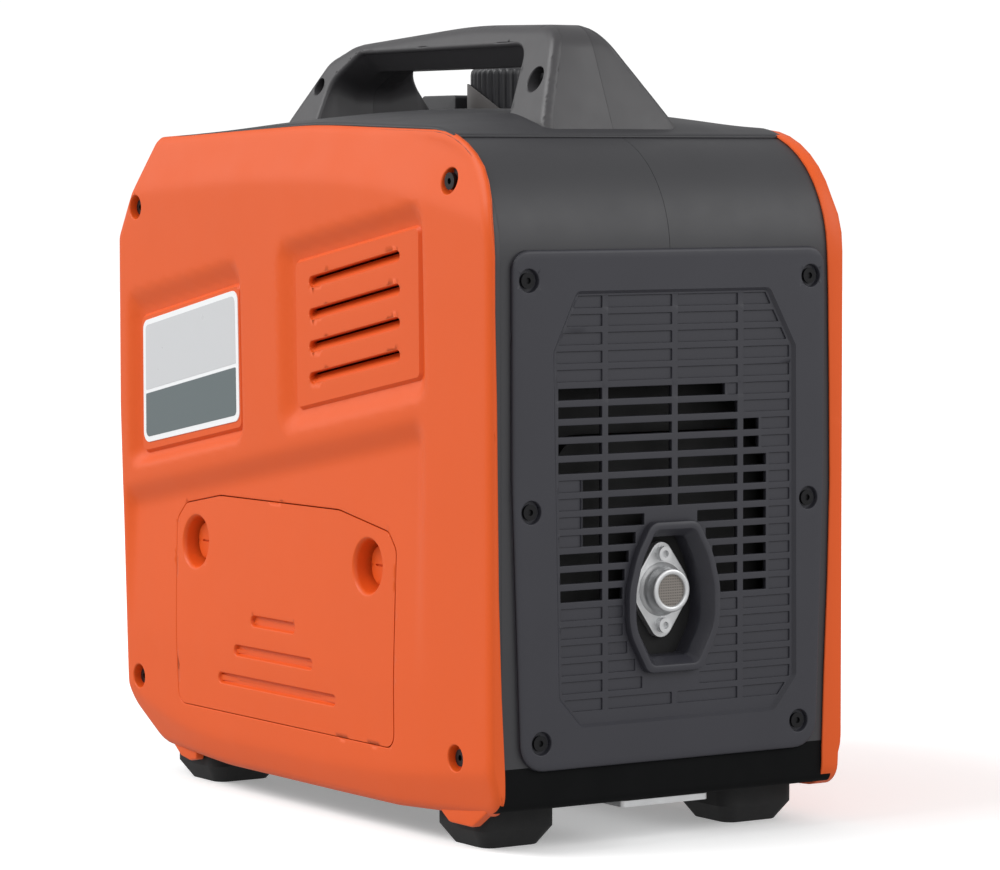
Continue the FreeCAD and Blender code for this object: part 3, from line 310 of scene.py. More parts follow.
@dataclass
class Relief:
    """A moulded face: a plan with holes and a depth function over it."""

    facing: Facing
    plane: float
    rim: Loop
    depth: Callable[[np.ndarray], np.ndarray]
    lips: list[Lip] = field(default_factory=list)
    lines: list[Loop] = field(default_factory=list)
    beads: list[Loop] = field(default_factory=list)
    pitch: float = 4.0
    skirt: Optional[Callable[[np.ndarray], np.ndarray]] = None
    # How close a filling point may lie to a loop and to another point, as shares of the pitch.
    loop_clearance: float = 0.3
    point_clearance: float = 0.4
    weld: float = 1e-4

    def _fill(self, loops: list[Loop]) -> np.ndarray:
        """Beads, and a triangular lattice, inside the rim and clear of the loops and of the holes."""
        low, high = self.rim.min(0), self.rim.max(0)
        row_step = self.pitch * math.sqrt(3) / 2
        u, v = np.meshgrid(np.arange(low[0], high[0], self.pitch), np.arange(low[1], high[1], row_step))
        u = u + (np.arange(u.shape[0]) % 2)[:, None] * self.pitch / 2
        kept = []
        taken = np.concatenate(loops)
        for spots in self.beads + [np.stack([u.ravel(), v.ravel()], 1)]:
            keep = inside(spots, self.rim)
            for lip in self.lips:
                keep &= ~inside(spots, lip.loop)
            spots = spots[keep]
            clear = np.ones(len(spots), bool)
            for loop in loops:
                clear &= distance(spots, loop) > self.loop_clearance * self.pitch
            for first in range(0, len(spots), BLOCK):
                gaps = spots[first:first + BLOCK, None, :] - taken
                nearest = (gaps ** 2).sum(2).min(1)
                clear[first:first + BLOCK] &= nearest > (self.point_clearance * self.pitch) ** 2
            kept.append(spots[clear])
            taken = np.concatenate([taken, kept[-1]])
        return np.concatenate(kept)

    def _net(self) -> tuple[np.ndarray, np.ndarray]:
        """Constrained triangulation of the plan: (points, triangles)."""
        loops = [self.rim] + [lip.loop for lip in self.lips] + self.lines
        edges, count = [], 0
        for loop in loops:
            ids = count + np.arange(len(loop))
            edges.append(np.stack([ids, np.roll(ids, -1)], 1))
            count += len(loop)
        plan = np.concatenate(loops + [self._fill(loops)])
        spots = [Vector(spot) for spot in plan.tolist()]
        made = delaunay_2d_cdt(spots, np.concatenate(edges).tolist(), [], 0, self.weld)
        net = np.array([tuple(p) for p in made[0]])
        faces = np.array(made[2])
        corners = net[faces]
        sides = np.roll(corners, -1, 1) - corners
        height = np.abs(np.cross(sides[:, 0], sides[:, 1])) / np.linalg.norm(sides, axis=2).max(1)
        middle = corners.mean(1)
        keep = inside(middle, self.rim) & (height > SLIVER)
        for lip in self.lips:
            keep &= ~inside(middle, lip.loop)
        return net, faces[keep]

    def build(self, name: str) -> bpy.types.Object:
        """Makes the skin, its lips and its skirt, with their faces looking outwards."""
        net, faces = self._net()
        patches = Patches()
        flip = self.facing is Facing.STARTER
        shown = placed(net, self.depth(net), self.facing, self.plane)
        corners = net[faces]
        turn = np.cross(corners[:, 1] - corners[:, 0], corners[:, 2] - corners[:, 0])
        faces = np.where((turn < 0)[:, None], faces[:, ::-1], faces)
        patches.add(shown, faces[:, ::-1] if flip else faces)
        for lip in self.lips:
            self._add_lip(patches, lip, flip)
        if self.skirt is not None:
            self._add_skirt(patches, flip)
        return patches.build(name)

    def _add_lip(self, patches: Patches, lip: Lip, flip: bool) -> None:
        """Rings that follow the hole inwards, from its edge on the skin."""
        edge = self.depth(lip.loop)
        rings = [placed(lip.loop, edge, self.facing, self.plane)]
        for into, deeper in lip.steps:
            rings.append(placed(shrink(lip.loop, into), edge + deeper, self.facing, self.plane))
        for loop, deep in lip.throat:
            rings.append(placed(loop, np.maximum(edge + lip.steps[-1][1], deep), self.facing, self.plane))
        turned = flip != is_clockwise(lip.loop)
        patches.grid(np.stack(rings), wrap=True, flip=turned)
        if lip.floor:
            patches.cap(rings[-1], flip=turned)

    def _add_skirt(self, patches: Patches, flip: bool) -> None:
        """Straight band that carries the rim further inwards by the skirt's depth."""
        edge = self.depth(self.rim)
        rings = [placed(self.rim, edge, self.facing, self.plane)]
        rings.append(placed(self.rim, edge + self.skirt(self.rim), self.facing, self.plane))
        turned = flip != is_clockwise(self.rim)
        patches.grid(np.stack(rings), wrap=True, flip=not turned)


def plaque(name: str, loop: Loop, facing: Facing, top: float, thick: float,
           soft: float) -> bpy.types.Object:
    """Closed convex slab whose front edge is softened.

    Args:
        name: the object's name.
        loop: its outline in plan.
        facing: which way its front looks.
        top: plane of its front.
        thick: distance from front to back.
        soft: size of the rounding of its front edge.

    Returns:
        The new object.
    """
    turned = (facing is Facing.STARTER) != is_clockwise(loop)
    shoulder = 0.3 * soft
    steps = [(soft, 0.0), (shoulder, shoulder), (0.0, soft), (0.0, thick)]
    rings = [placed(shrink(loop, into), np.full(len(loop), deep), facing, top) for into, deep in steps]
    patches = Patches()
    patches.cap(rings[0], flip=turned)
    patches.grid(np.stack(rings), wrap=True, flip=not turned)
    patches.cap(rings[-1], flip=not turned)
    made = patches.build(name)
    weigh(made)
    return made


def lathe(name: str, profile: Sequence[tuple[float, float, float]], foot: tuple[float, float, float],
          along_x: bool, ribs: int = 0, hollow: bool = False) -> bpy.types.Object:
    """Turned piece, with ribs round it if wanted.

    Args:
        name: the object's name.
        profile: (height, radius, rib depth), up the outside and in over the top.
        foot: where height 0 of the axis is.
        along_x: axis along X, otherwise along Z.
        ribs: how many ribs go round.
        hollow: joins the last ring to the first, for a tube; otherwise both ends are closed.

    Returns:
        The new object.
    """
    count = max(ROUND_STEPS, ribs * STEPS_PER_RIB)
    angles = 2 * np.pi * np.arange(count) / count
    wave = (0.5 - 0.5 * np.cos(ribs * angles)) ** 2
    rings = []
    for height, radius, rib in profile:
        reach = radius - rib * wave
        round_parts = [reach * np.cos(angles), reach * np.sin(angles)]
        along = np.full(count, height)
        parts = [along] + round_parts if along_x else round_parts + [along]
        rings.append(np.stack(parts, 1) + np.array(foot))
    patches = Patches()
    patches.grid(np.stack(rings + rings[:1] if hollow else rings), wrap=True)
    if not hollow:
        patches.cap(rings[0], flip=True)
        patches.cap(rings[-1])
    made = patches.build(name)
    weigh(made)
    return made


# ---- finishes -------------------------------------------------------------------------------------


def linear(code: str) -> tuple[float, float, float, float]:
    """sRGB hex value as linear colour with full alpha."""
    parts = [int(code[i:i + 2], 16) / 255 for i in (0, 2, 4)]
    bent = [p / 12.92 if p <= 0.04045 else ((p + 0.055) / 1.055) ** 2.4 for p in parts]
    return (bent[0], bent[1], bent[2], 1.0)


def shade(code: str, factor: float) -> tuple[float, float, float, float]:
    """Linear colour of a hex value, made lighter or darker."""
    red, green, blue, alpha = linear(code)
    return (min(red * factor, 1.0), min(green * factor, 1.0), min(blue * factor, 1.0), alpha)


def add(tree: bpy.types.NodeTree, kind: str, settings: Optional[dict] = None,
        inputs: Optional[dict] = None) -> bpy.types.Node:
    """Adds a node with its settings, its values and its links.

    Args:
        tree: where the node goes.
        kind: the node's type, without its "ShaderNode" prefix.
        settings: attributes of the node.
        inputs: values, or other nodes' outputs to link, by input name or number.

    Returns:
        The new node.
    """
    node = tree.nodes.new("ShaderNode" + kind)
    for name, value in (settings or {}).items():
        setattr(node, name, value)
    for name, value in (inputs or {}).items():
        if isinstance(value, bpy.types.NodeSocket):
            tree.links.new(value, node.inputs[name])
        else:
            node.inputs[name].default_value = value
    return node


def per_mm(size: float) -> float:
    """Texture scale, in metres, of a pattern whose features are this many millimetres apart."""
    return 1.0 / (size * MM)


# How far a finish's roughness strays either way.
GLOSS_SPREAD = 0.07
# The wave texture turns through this many radians for each unit of its scale.
WAVE_RATE = 20
COAT_ROUGHNESS = 0.12
WHITE = (1.0, 1.0, 1.0, 1.0)


@dataclass(frozen=True)
class Finish:
    """A surface finish: its colour, gloss and the grain of its mould, casting or plating.

    Sizes are millimetres. Cloud is the size of its slow colour change, grain that of its texture.
    """

    slot: str
    colour: str
    roughness: float = 0.5
    metallic: float = 0.0
    grain: float = 0.9
    grain_depth: float = 0.02
    cloud: float = 60.0
    cloud_share: float = 0.05
    stretch: tuple[float, float, float] = (1.0, 1.0, 1.0)
    coat: float = 0.0
    ior: float = 1.5

    def surface(self, tree: bpy.types.NodeTree, place: bpy.types.NodeSocket) -> dict:
        """Colour, roughness and bump inputs of the shader."""
        cloud = add(tree, "TexNoise", None, {"Vector": place, "Scale": per_mm(self.cloud), "Detail": 4.0})
        tint = add(tree, "Mix", {"data_type": "RGBA"}, {
            "Factor": cloud.outputs["Fac"],
            "A": shade(self.colour, 1 - self.cloud_share),
            "B": shade(self.colour, 1 + self.cloud_share),
        })
        wipe = add(tree, "TexNoise", None, {"Vector": place, "Scale": per_mm(self.cloud / 3), "Detail": 6.0})
        gloss = add(tree, "MapRange", None, {
            "Value": wipe.outputs["Fac"],
            "To Min": self.roughness - GLOSS_SPREAD,
            "To Max": self.roughness + GLOSS_SPREAD,
        })
        grain = add(tree, "TexNoise", None, {"Vector": place, "Scale": per_mm(self.grain), "Detail": 3.0})
        bump = add(tree, "Bump", None, {
            "Height": grain.outputs["Fac"], "Strength": 0.6, "Distance": self.grain_depth * MM,
        })
        return {"Base Color": tint.outputs["Result"], "Roughness": gloss.outputs["Result"],
                "Normal": bump.outputs["Normal"]}

    def material(self) -> bpy.types.Material:
        """The finish as a material."""
        made = bpy.data.materials.new(self.slot)
        made.use_nodes = True
        tree = made.node_tree
        tree.nodes.clear()
        place = add(tree, "TexCoord").outputs["Object"]
        place = add(tree, "Mapping", None, {"Vector": place, "Scale": self.stretch}).outputs["Vector"]
        shader = add(tree, "BsdfPrincipled", None, self.surface(tree, place))
        shader.inputs["Metallic"].default_value = self.metallic
        shader.inputs["IOR"].default_value = self.ior
        if self.coat:
            shader.inputs["Coat Weight"].default_value = self.coat
            shader.inputs["Coat Roughness"].default_value = COAT_ROUGHNESS
        add(tree, "OutputMaterial", None, {"Surface": shader.outputs["BSDF"]})
        return made


@dataclass(frozen=True)
class WovenWire(Finish):
    """Stainless wire cloth: over-and-under wires crossing at a pitch, with the gaps between them painted
    dark as shade.
    """

    pitch: float = 0.9
    painted_gap_shade: float = 0.3
    gap_roughness: float = 0.5

    def surface(self, tree: bpy.types.NodeTree, place: bpy.types.NodeSocket) -> dict:
        """Two sets of wires, as sine bands along Y and Z, give the bump and a colour darkened towards the
        gaps as painted shade.
        """
        bands = []
        for axis in ("Y", "Z"):
            wave = add(tree, "TexWave", {"wave_type": "BANDS", "bands_direction": axis},
                       {"Vector": place, "Scale": per_mm(self.pitch) / WAVE_RATE * math.pi})
            bands.append(wave.outputs["Fac"])
        wires = add(tree, "Math", {"operation": "MAXIMUM"}, {0: bands[0], 1: bands[1]})
        # Painted shade: the colour darkens from each wire's middle to the gaps.
        tint = add(tree, "Mix", {"data_type": "RGBA"}, {
            "Factor": wires.outputs["Value"], "A": shade(self.colour, self.painted_gap_shade),
            "B": linear(self.colour),
        })
        bump = add(tree, "Bump", None, {
            "Height": wires.outputs["Value"], "Strength": 1.0, "Distance": self.grain_depth * MM,
        })
        gloss = add(tree, "MapRange", None, {
            "Value": bands[0], "To Min": self.gap_roughness, "To Max": self.roughness,
        })
        return {"Base Color": tint.outputs["Result"], "Roughness": gloss.outputs["Result"],
                "Normal": bump.outputs["Normal"]}


FINISHES = [
    # ABS, moulded with a fine spark texture: a bright satin orange whose lit edges turn salmon.
    Finish("orange_cover", "E0591C", 0.46, ior=1.38, grain=0.8, grain_depth=0.03, cloud=90,
           cloud_share=0.03),
    # Glass-filled nylon, moulded: charcoal with a faint blue cast, matt, with a sandy texture.
    Finish("black_casing", "343437", 0.5, grain=0.9, grain_depth=0.05, cloud=70, cloud_share=0.1),
    # The same nylon in the thinner louvred panel, a little darker.
    Finish("grille_plastic", "2F2F36", 0.48, grain=0.9, grain_depth=0.04, cloud=50, cloud_share=0.1),
    # Polypropylene, satin from a polished mould: the handle's face shines grey.
    Finish("handle_plastic", "403F41", 0.42, grain=0.7, grain_depth=0.02, cloud=40, cloud_share=0.08),
    # Polyethylene, blow moulded: slightly waxy blacks.
    Finish("cap_plastic", "2A2A2D", 0.42, grain=0.7, grain_depth=0.02, cloud=30, cloud_share=0.1),
    Finish("tank_plastic", "1A1A1C", 0.45, grain=1.5, grain_depth=0.04, cloud=50, cloud_share=0.1),
    # ABS panel and phenolic outlets.
    Finish("panel_plastic", "26262A", 0.42, grain=0.6, grain_depth=0.03, cloud=60, cloud_share=0.06),
    Finish("socket_plastic", "17171A", 0.3, grain=0.8, grain_depth=0.01, cloud=30, cloud_share=0.06),
    Finish("flap_plastic", "2B3A4C", 0.35, grain=0.6, grain_depth=0.02, cloud=30, cloud_share=0.05),
    Finish("knob_plastic", "19191B", 0.36, grain=0.6, grain_depth=0.02, cloud=20, cloud_share=0.08),
    Finish("switch_plastic", "141416", 0.25, grain=0.8, grain_depth=0.01, cloud=20, cloud_share=0.05),
    Finish("button_plastic", "8E8E90", 0.3, grain=0.8, grain_depth=0.01, cloud=20, cloud_share=0.05),
    # Polycarbonate lens over a green lamp, clear-coated.
    Finish("lamp_lens", "2E9E4A", 0.16, grain=1.2, grain_depth=0.01, cloud=6, cloud_share=0.12, coat=0.6),
    Finish("dipstick_plastic", "E0B020", 0.35, grain=0.7, grain_depth=0.02, cloud=25, cloud_share=0.05),
    Finish("fan_plastic", "202024", 0.45, grain=0.8, grain_depth=0.03, cloud=40, cloud_share=0.08),
    # Natural rubber, compression moulded: dead matt with a dusty bloom.
    Finish("foot_rubber", "131314", 0.68, grain=1.1, grain_depth=0.06, cloud=22, cloud_share=0.2),
    Finish("hose_rubber", "161617", 0.6, grain=0.9, grain_depth=0.04, cloud=15, cloud_share=0.15),
    # Steel with black oxide.
    Finish("black_screw", "1C1C1E", 0.34, metallic=0.6, grain=0.6, grain_depth=0.02, cloud=5,
           cloud_share=0.2),
    # Zinc-plated steel: bright, slightly cloudy from the plating bath.
    Finish("zinc_steel", "DADBDC", 0.44, metallic=0.85, grain=1.6, grain_depth=0.02, cloud=9,
           cloud_share=0.12),
    WovenWire("arrestor_mesh", "8E8882", 0.45, metallic=0.5, grain_depth=0.15),
    # High-heat paint on pressed steel.
    Finish("muffler_steel", "0C0C0D", 0.7, metallic=0.1, grain=0.8, grain_depth=0.05, cloud=30,
           cloud_share=0.3),
    # Turned steel: fine rings of tool marks, drawn as a grain stretched across the crank axis.
    Finish("turned_steel", "A8A9AA", 0.28, metallic=1.0, grain=1.0, grain_depth=0.02, cloud=12,
           cloud_share=0.08, stretch=(0.2, 3.0, 0.2)),
    # Die-cast aluminium, as cast: grey and pebbly.
    Finish("cast_aluminium", "96979A", 0.5, metallic=0.9, grain=1.4, grain_depth=0.1, cloud=35,
           cloud_share=0.1),
    # Enamelled copper wire, wound: amber, ribbed across the turns.
    Finish("stator_winding", "A6602C", 0.32, metallic=0.5, grain=1.2, grain_depth=0.2, cloud=10,
           cloud_share=0.15, stretch=(1.0, 0.1, 1.0)),
    # Printed polycarbonate film.
    Finish("plate", "F1F3F4", 0.3, grain=1.5, grain_depth=0.005, cloud=60, cloud_share=0.015),
]


# The printed fields of the label's film.
PALE_FIELD = Finish("pale_field", "CCCED0", 0.3, grain=1.5, grain_depth=0.004, cloud=60, cloud_share=0.01)
GREY_FIELD = Finish("grey_field", "606B6D", 0.3, grain=1.5, grain_depth=0.004, cloud=60, cloud_share=0.02)
# The nylon of the filler's wall, in a lighter grey than the casing.
SCOOP = Finish("filler_scoop", "5E5B5A", 0.5, grain=0.8, grain_depth=0.03, cloud=30, cloud_share=0.06)
# The tray's polypropylene, dead matt and almost black: painted shade for its shadowed strip under the panel.
SHADED_TRAY = Finish("base_tray", "050607", 0.8, ior=1.25, grain=0.9, grain_depth=0.05, cloud=60, cloud_share=0.1)


class Palette:
    """Makes each finish once and dresses nodes and pieces with it."""

    def __init__(self) -> None:
        """Makes the finishes that the record names."""
        self.made = {finish.slot: finish.material() for finish in FINISHES}

    def dress_nodes(self) -> None:
        """Gives every CAD node the finish of its slot."""
        for part in frame["record"]["subparts"]:
            node = frame["nodes"][part["node"]]
            for held in node.material_slots:
                held.material = self.made[part["material_slot"]]
        # The base tray is painted near black, as shade for its recessed strip.
        tray = SHADED_TRAY.material()
        for held in frame["nodes"]["base_tray"].material_slots:
            held.material = tray

    def dress(self, piece: bpy.types.Object, slot: str, body: str = "body", stands_for: Sequence[str] = (),
              finish: Optional[Finish] = None) -> None:
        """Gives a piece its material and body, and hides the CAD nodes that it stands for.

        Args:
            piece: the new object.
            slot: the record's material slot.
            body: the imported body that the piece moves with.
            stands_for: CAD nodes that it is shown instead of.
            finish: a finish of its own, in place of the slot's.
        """
        material = self.made[slot] if finish is None else finish.material()
        piece.data.materials.clear()
        piece.data.materials.append(material)
        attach(piece, body)
        if stands_for:
            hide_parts(*stands_for)
        LOG.info("%s: %d faces, rides on %s", piece.name, len(piece.data.polygons), body)


# ---- orange side covers ---------------------------------------------------------------------------

# Outlines of the tabs that hang beside the rear and the front foot.
TABS = (
    ((166.0, 36.0, 3.0), (231.0, 36.0, 3.0), (226.0, 27.0, 5.0), (209.0, 16.0, 9.0), (182.0, 16.0, 7.0),
     (169.0, 24.0, 4.0)),
    ((-186.0, 36.0, 3.0), (-150.0, 36.0, 3.0), (-150.0, 17.0, 2.5), (-160.0, 15.0, 4.0), (-173.0, 17.0, 6.0),
     (-186.0, 26.0, 4.0)),
)
# Heights at which a cover's seam depths are given.
SEAM_HEIGHTS = (50.0, 100.0, 164.0, 226.0, 288.0, 350.0, 381.0, 412.0)
SOFT_LIP = ((0.25, 0.1), (0.5, 0.5))


@dataclass
class SideCover:
    """Orange side cover: a flat face with leaning bands, pockets, a stepped lower panel and screw wells."""

    width: float = 140.0
    deepest_lean: float = 9.0
    roll: float = 6.5
    roll_drop: float = 3.6
    seam_depths: tuple[float, ...] = (12.5, 10.0, 8.0, 7.4, 6.8, 5.5, 5.0, 4.6)
    wall: float = 2.4
    outline: Corners = (
        (-204.0, 454.5, 12.0), (15.0, 462.0, 900.0), (242.0, 455.0, 80.0), (242.0, 26.0, 16.0),
        (120.0, 19.0, 60.0), (-100.0, 19.0, 300.0), (-198.0, 24.5, 34.0), (-237.0, 52.0, 26.0),
        (-246.8, 262.0, 300.0), (-246.6, 384.0, 12.0),
    )
    vent_rim: Corners = (
        (-21.0, 384.0, 14.0), (166.0, 415.0, 14.0), (171.0, 284.0, 14.0), (-18.0, 251.0, 14.0),
    )
    vent_foot: Corners = (
        (-2.0, 370.5, 6.0), (157.0, 397.0, 6.0), (158.0, 297.5, 6.0), (0.0, 270.0, 6.0),
    )
    plate_rim: Corners = (
        (-234.0, 346.0, 12.0), (-69.0, 374.0, 14.0), (-65.0, 245.0, 14.0), (-233.0, 216.0, 12.0),
    )
    plate_foot: Corners = (
        (-219.0, 328.0, 7.0), (-74.5, 355.0, 7.0), (-72.0, 254.0, 7.0), (-218.0, 229.0, 7.0),
    )
    pocket_depth: float = 6.0
    plateau: float = 2.2
    bevel: float = 2.2
    crease_depth: float = 6.0
    # The top band starts to lean below crown_z: (run, drop) of that line's ends on either side of crown_x.
    crown_x: float = 10.0
    crown_z: float = 425.0
    crown_ends: Steps = ((210.0, 8.0), (154.0, 12.0))
    # The bottom band leans below sill_z, which rises at its ends: (start, run, rise).
    sill_z: float = 38.0
    sill_ends: Sequence[tuple[float, float, float]] = ((-100.0, 123.0, 21.0), (6.0, 175.0, 9.0))
    # How steeply the top, bottom and rear bands lean, and how soft the knees are.
    leans: tuple[float, float, float] = (0.25, 0.3, 0.02)
    knee: float = 2.2
    rear_knee: float = 4.0
    rear_x: float = 168.0
    # The crease's height at crease_x, its slope, and the runs of the step below it and of its rear edge.
    crease_x: float = -227.0
    crease_z: float = 210.0
    crease_slope: float = 0.17
    step_run: float = 20.0
    step_rear_run: float = 15.0
    fade_z: float = 100.0
    fade_power: float = 1.2
    feature_blend: float = 16.0
    least_skirt: float = 0.6
    screws: Steps = ((191.0, 424.0), (202.0, 60.0), (-219.0, 405.0), (-218.0, 70.0))
    screw_well: float = 8.3
    screw_steps: Steps = ((0.3, 0.08), (0.7, 0.4), (1.0, 1.0), (1.05, 6.6), (4.8, 6.6))
    slots: Steps = ((75.0, 366.5), (75.0, 345.0), (75.0, 323.5), (75.0, 302.5))
    slot_length: float = 116.0
    slot_height: float = 7.4
    slot_rise: float = 10.0
    blade_rise: float = 0.86
    blade_depth: float = 6.4
    band_inset: float = 1.6
    band_overlap: float = 0.8
    band_reach: float = 1.2
    band_floor: float = 11.0
    band_wall: float = 2.0
    tab_plane: float = 131.5
    tab_thickness: float = 6.0

    def __post_init__(self) -> None:
        """Works out the loops that the depth is measured from."""
        self.rim = rounded_loop(self.outline, 6.0, 10)
        self.vent = self._pocket(self.vent_rim, self.vent_foot)
        self.plate = self._pocket(self.plate_rim, self.plate_foot)

    @staticmethod
    def _pocket(rim: Corners, foot: Corners) -> tuple[Loop, Loop]:
        """Two loops with as many points each: a pocket's edge and its foot."""
        edge, end = (rounded_loop(corners, arc_points=8, side_steps=24) for corners in (rim, foot))
        return edge, end

    def top_edge(self, x: np.ndarray) -> np.ndarray:
        """Height at which the top band starts to lean: a crown, lower towards both ends."""
        (front_run, front_drop), (rear_run, rear_drop) = self.crown_ends
        in_front = x < self.crown_x
        side = (x - self.crown_x) / np.where(in_front, front_run, rear_run)
        return self.crown_z - np.where(in_front, front_drop, rear_drop) * side ** 2

    def bottom_edge(self, x: np.ndarray) -> np.ndarray:
        """Height below which the bottom band leans: level, rising towards both ends."""
        (front_x, front_run, front_rise), (rear_x, rear_run, rear_rise) = self.sill_ends
        front = np.clip((front_x - x) / front_run, 0, 2) ** 2
        rear = np.clip((x - rear_x) / rear_run, 0, 2) ** 2
        return self.sill_z + front_rise * front + rear_rise * rear

    def crease(self, x: np.ndarray) -> np.ndarray:
        """Height of the slanting step, rising towards the exhaust end."""
        return self.crease_z + self.crease_slope * (x - self.crease_x)

    def lean(self, plan: np.ndarray) -> np.ndarray:
        """Inward lean of the top, bottom and rear bands: soft ramps past their edges."""
        x, z = plan[:, 0], plan[:, 1]
        top_lean, bottom_lean, rear_lean = self.leans
        top = top_lean * soft_ramp(z - self.top_edge(x), self.knee)
        bottom = bottom_lean * soft_ramp(self.bottom_edge(x) - z, self.knee)
        rear = rear_lean * soft_ramp(x - self.rear_x, self.rear_knee)
        return np.minimum(top + bottom + rear, self.deepest_lean)

    def pocket(self, plan: np.ndarray, loops: tuple[Loop, Loop]) -> np.ndarray:
        """Depth of a pocket: an eased slope from edge to foot, then a bevel up to its plateau."""
        edge, foot = loops
        within = inside(plan, edge)
        on_plateau = inside(plan, foot)
        to_edge = distance(plan, edge)
        to_foot = distance(plan, foot)
        slope = self.pocket_depth * ease(to_edge / np.maximum(to_edge + to_foot, TINY))
        rise = self.pocket_depth - self.plateau * ease(to_foot / self.bevel)
        return np.where(on_plateau, rise, np.where(within, slope, 0.0))

    def lower_panel(self, plan: np.ndarray) -> np.ndarray:
        """Step below the crease, fading out towards the bottom and at its rear edge."""
        x, z = plan[:, 0], plan[:, 1]
        crease = self.crease(x)
        step = ease((crease - z) / self.step_run)
        rear = ease((self.rear_x - x) / self.step_rear_run)
        fade = np.clip((z - self.fade_z) / (crease - self.step_run - self.fade_z), 0, 1)
        return self.crease_depth * step * rear * fade ** self.fade_power

    def depth(self, plan: np.ndarray) -> np.ndarray:
        """Depth of the whole skin: leans and pockets, then a quarter-ellipse roll at the rim."""
        to_rim = distance(plan, self.rim)
        features = self.features(plan) * ease(to_rim / self.feature_blend)
        relief = self.lean(plan) + self.pocket(plan, self.vent) + features
        return relief + rolled(to_rim, self.roll, self.roll_drop)

    def features(self, plan: np.ndarray) -> np.ndarray:
        """What only this side has: the plate pocket and the lower panel."""
        return self.pocket(plan, self.plate) + self.lower_panel(plan)

    def skirt(self, rim: np.ndarray) -> np.ndarray:
        """How far the rim wraps on to the seam, which lies deeper towards the bottom."""
        seam = np.interp(rim[:, 1], SEAM_HEIGHTS, self.seam_depths)
        return np.maximum(seam - self.depth(rim), self.least_skirt)

    def lines(self) -> list[Loop]:
        """Rings along the roll and along the pocket's slope."""
        rings = roll_rings(self.rim, self.roll)
        for edge, foot in self.pockets():
            rings += [edge + (foot - edge) * share for share in (0.0, 0.25, 0.5, 0.75, 1.0)]
            rings += [shrink(foot, 0.5 * self.bevel), shrink(foot, self.bevel)]
        return rings

    def pockets(self) -> list[tuple[Loop, Loop]]:
        """The pockets of this side."""
        return [self.vent, self.plate]

    def well(self, x: float, z: float) -> Lip:
        """Round screw recess with a softened edge."""
        return Lip(circle(x, z, self.screw_well + 1.0, 32), self.screw_steps, floor=True)

    def slot_lips(self) -> list[Lip]:
        """Slanting vent slots: a blade rises inwards from each lower edge and leaves a narrow opening."""
        angle = math.radians(self.slot_rise)
        up = np.array([-math.sin(angle), math.cos(angle)])
        lips = []
        for x, z in self.slots:
            loop = stadium(x, z, self.slot_length + 1.0, self.slot_height + 1.0, self.slot_rise)
            to_top = self.slot_height / 2 - (loop - np.array([x, z])) @ up
            blade = loop + up * (to_top * self.blade_rise)[:, None]
            floor_depth = self.pocket_depth - self.plateau + self.blade_depth
            lips.append(Lip(loop, SOFT_LIP + ((0.6, 2.0),), throat=((blade, floor_depth),)))
        return lips

    def relief(self, lips: list[Lip], facing: Facing) -> Relief:
        """The cover as a relief with the given holes besides its own."""
        wells = [self.well(x, z) for x, z in self.screws]
        return Relief(facing, self.width, self.rim, self.depth, wells + self.slot_lips() + lips,
                      self.lines(), skirt=self.skirt)

    def build_flange(self, palette: Palette, facing: Facing) -> None:
        """Black edge of the casing that the cover closes on."""
        loop = shrink(self.rim, self.band_inset)
        start = self.depth(self.rim) + self.skirt(self.rim) - self.band_overlap
        end = np.maximum(start + self.band_reach, self.band_floor)
        rings = [placed(loop, depth, facing, self.width) for depth in (start, end)]
        band = Patches()
        band.grid(np.stack(rings), wrap=True, flip=(facing is Facing.STARTER) == is_clockwise(loop))
        made = band.build(f"{facing.name.lower()}_casing_edge")
        thicken(made, self.band_wall)
        palette.dress(made, "black_casing")

    def build_tabs(self, palette: Palette, facing: Facing, tabs: Sequence[Corners]) -> None:
        """Tabs that hang below the cover beside the feet."""
        for number, corners in enumerate(tabs):
            tab = plaque(f"{facing.name.lower()}_cover_tab_{number + 1}", rounded_loop(corners, 4.0),
                         facing, self.tab_plane, self.tab_thickness, 2.0)
            palette.dress(tab, "orange_cover")


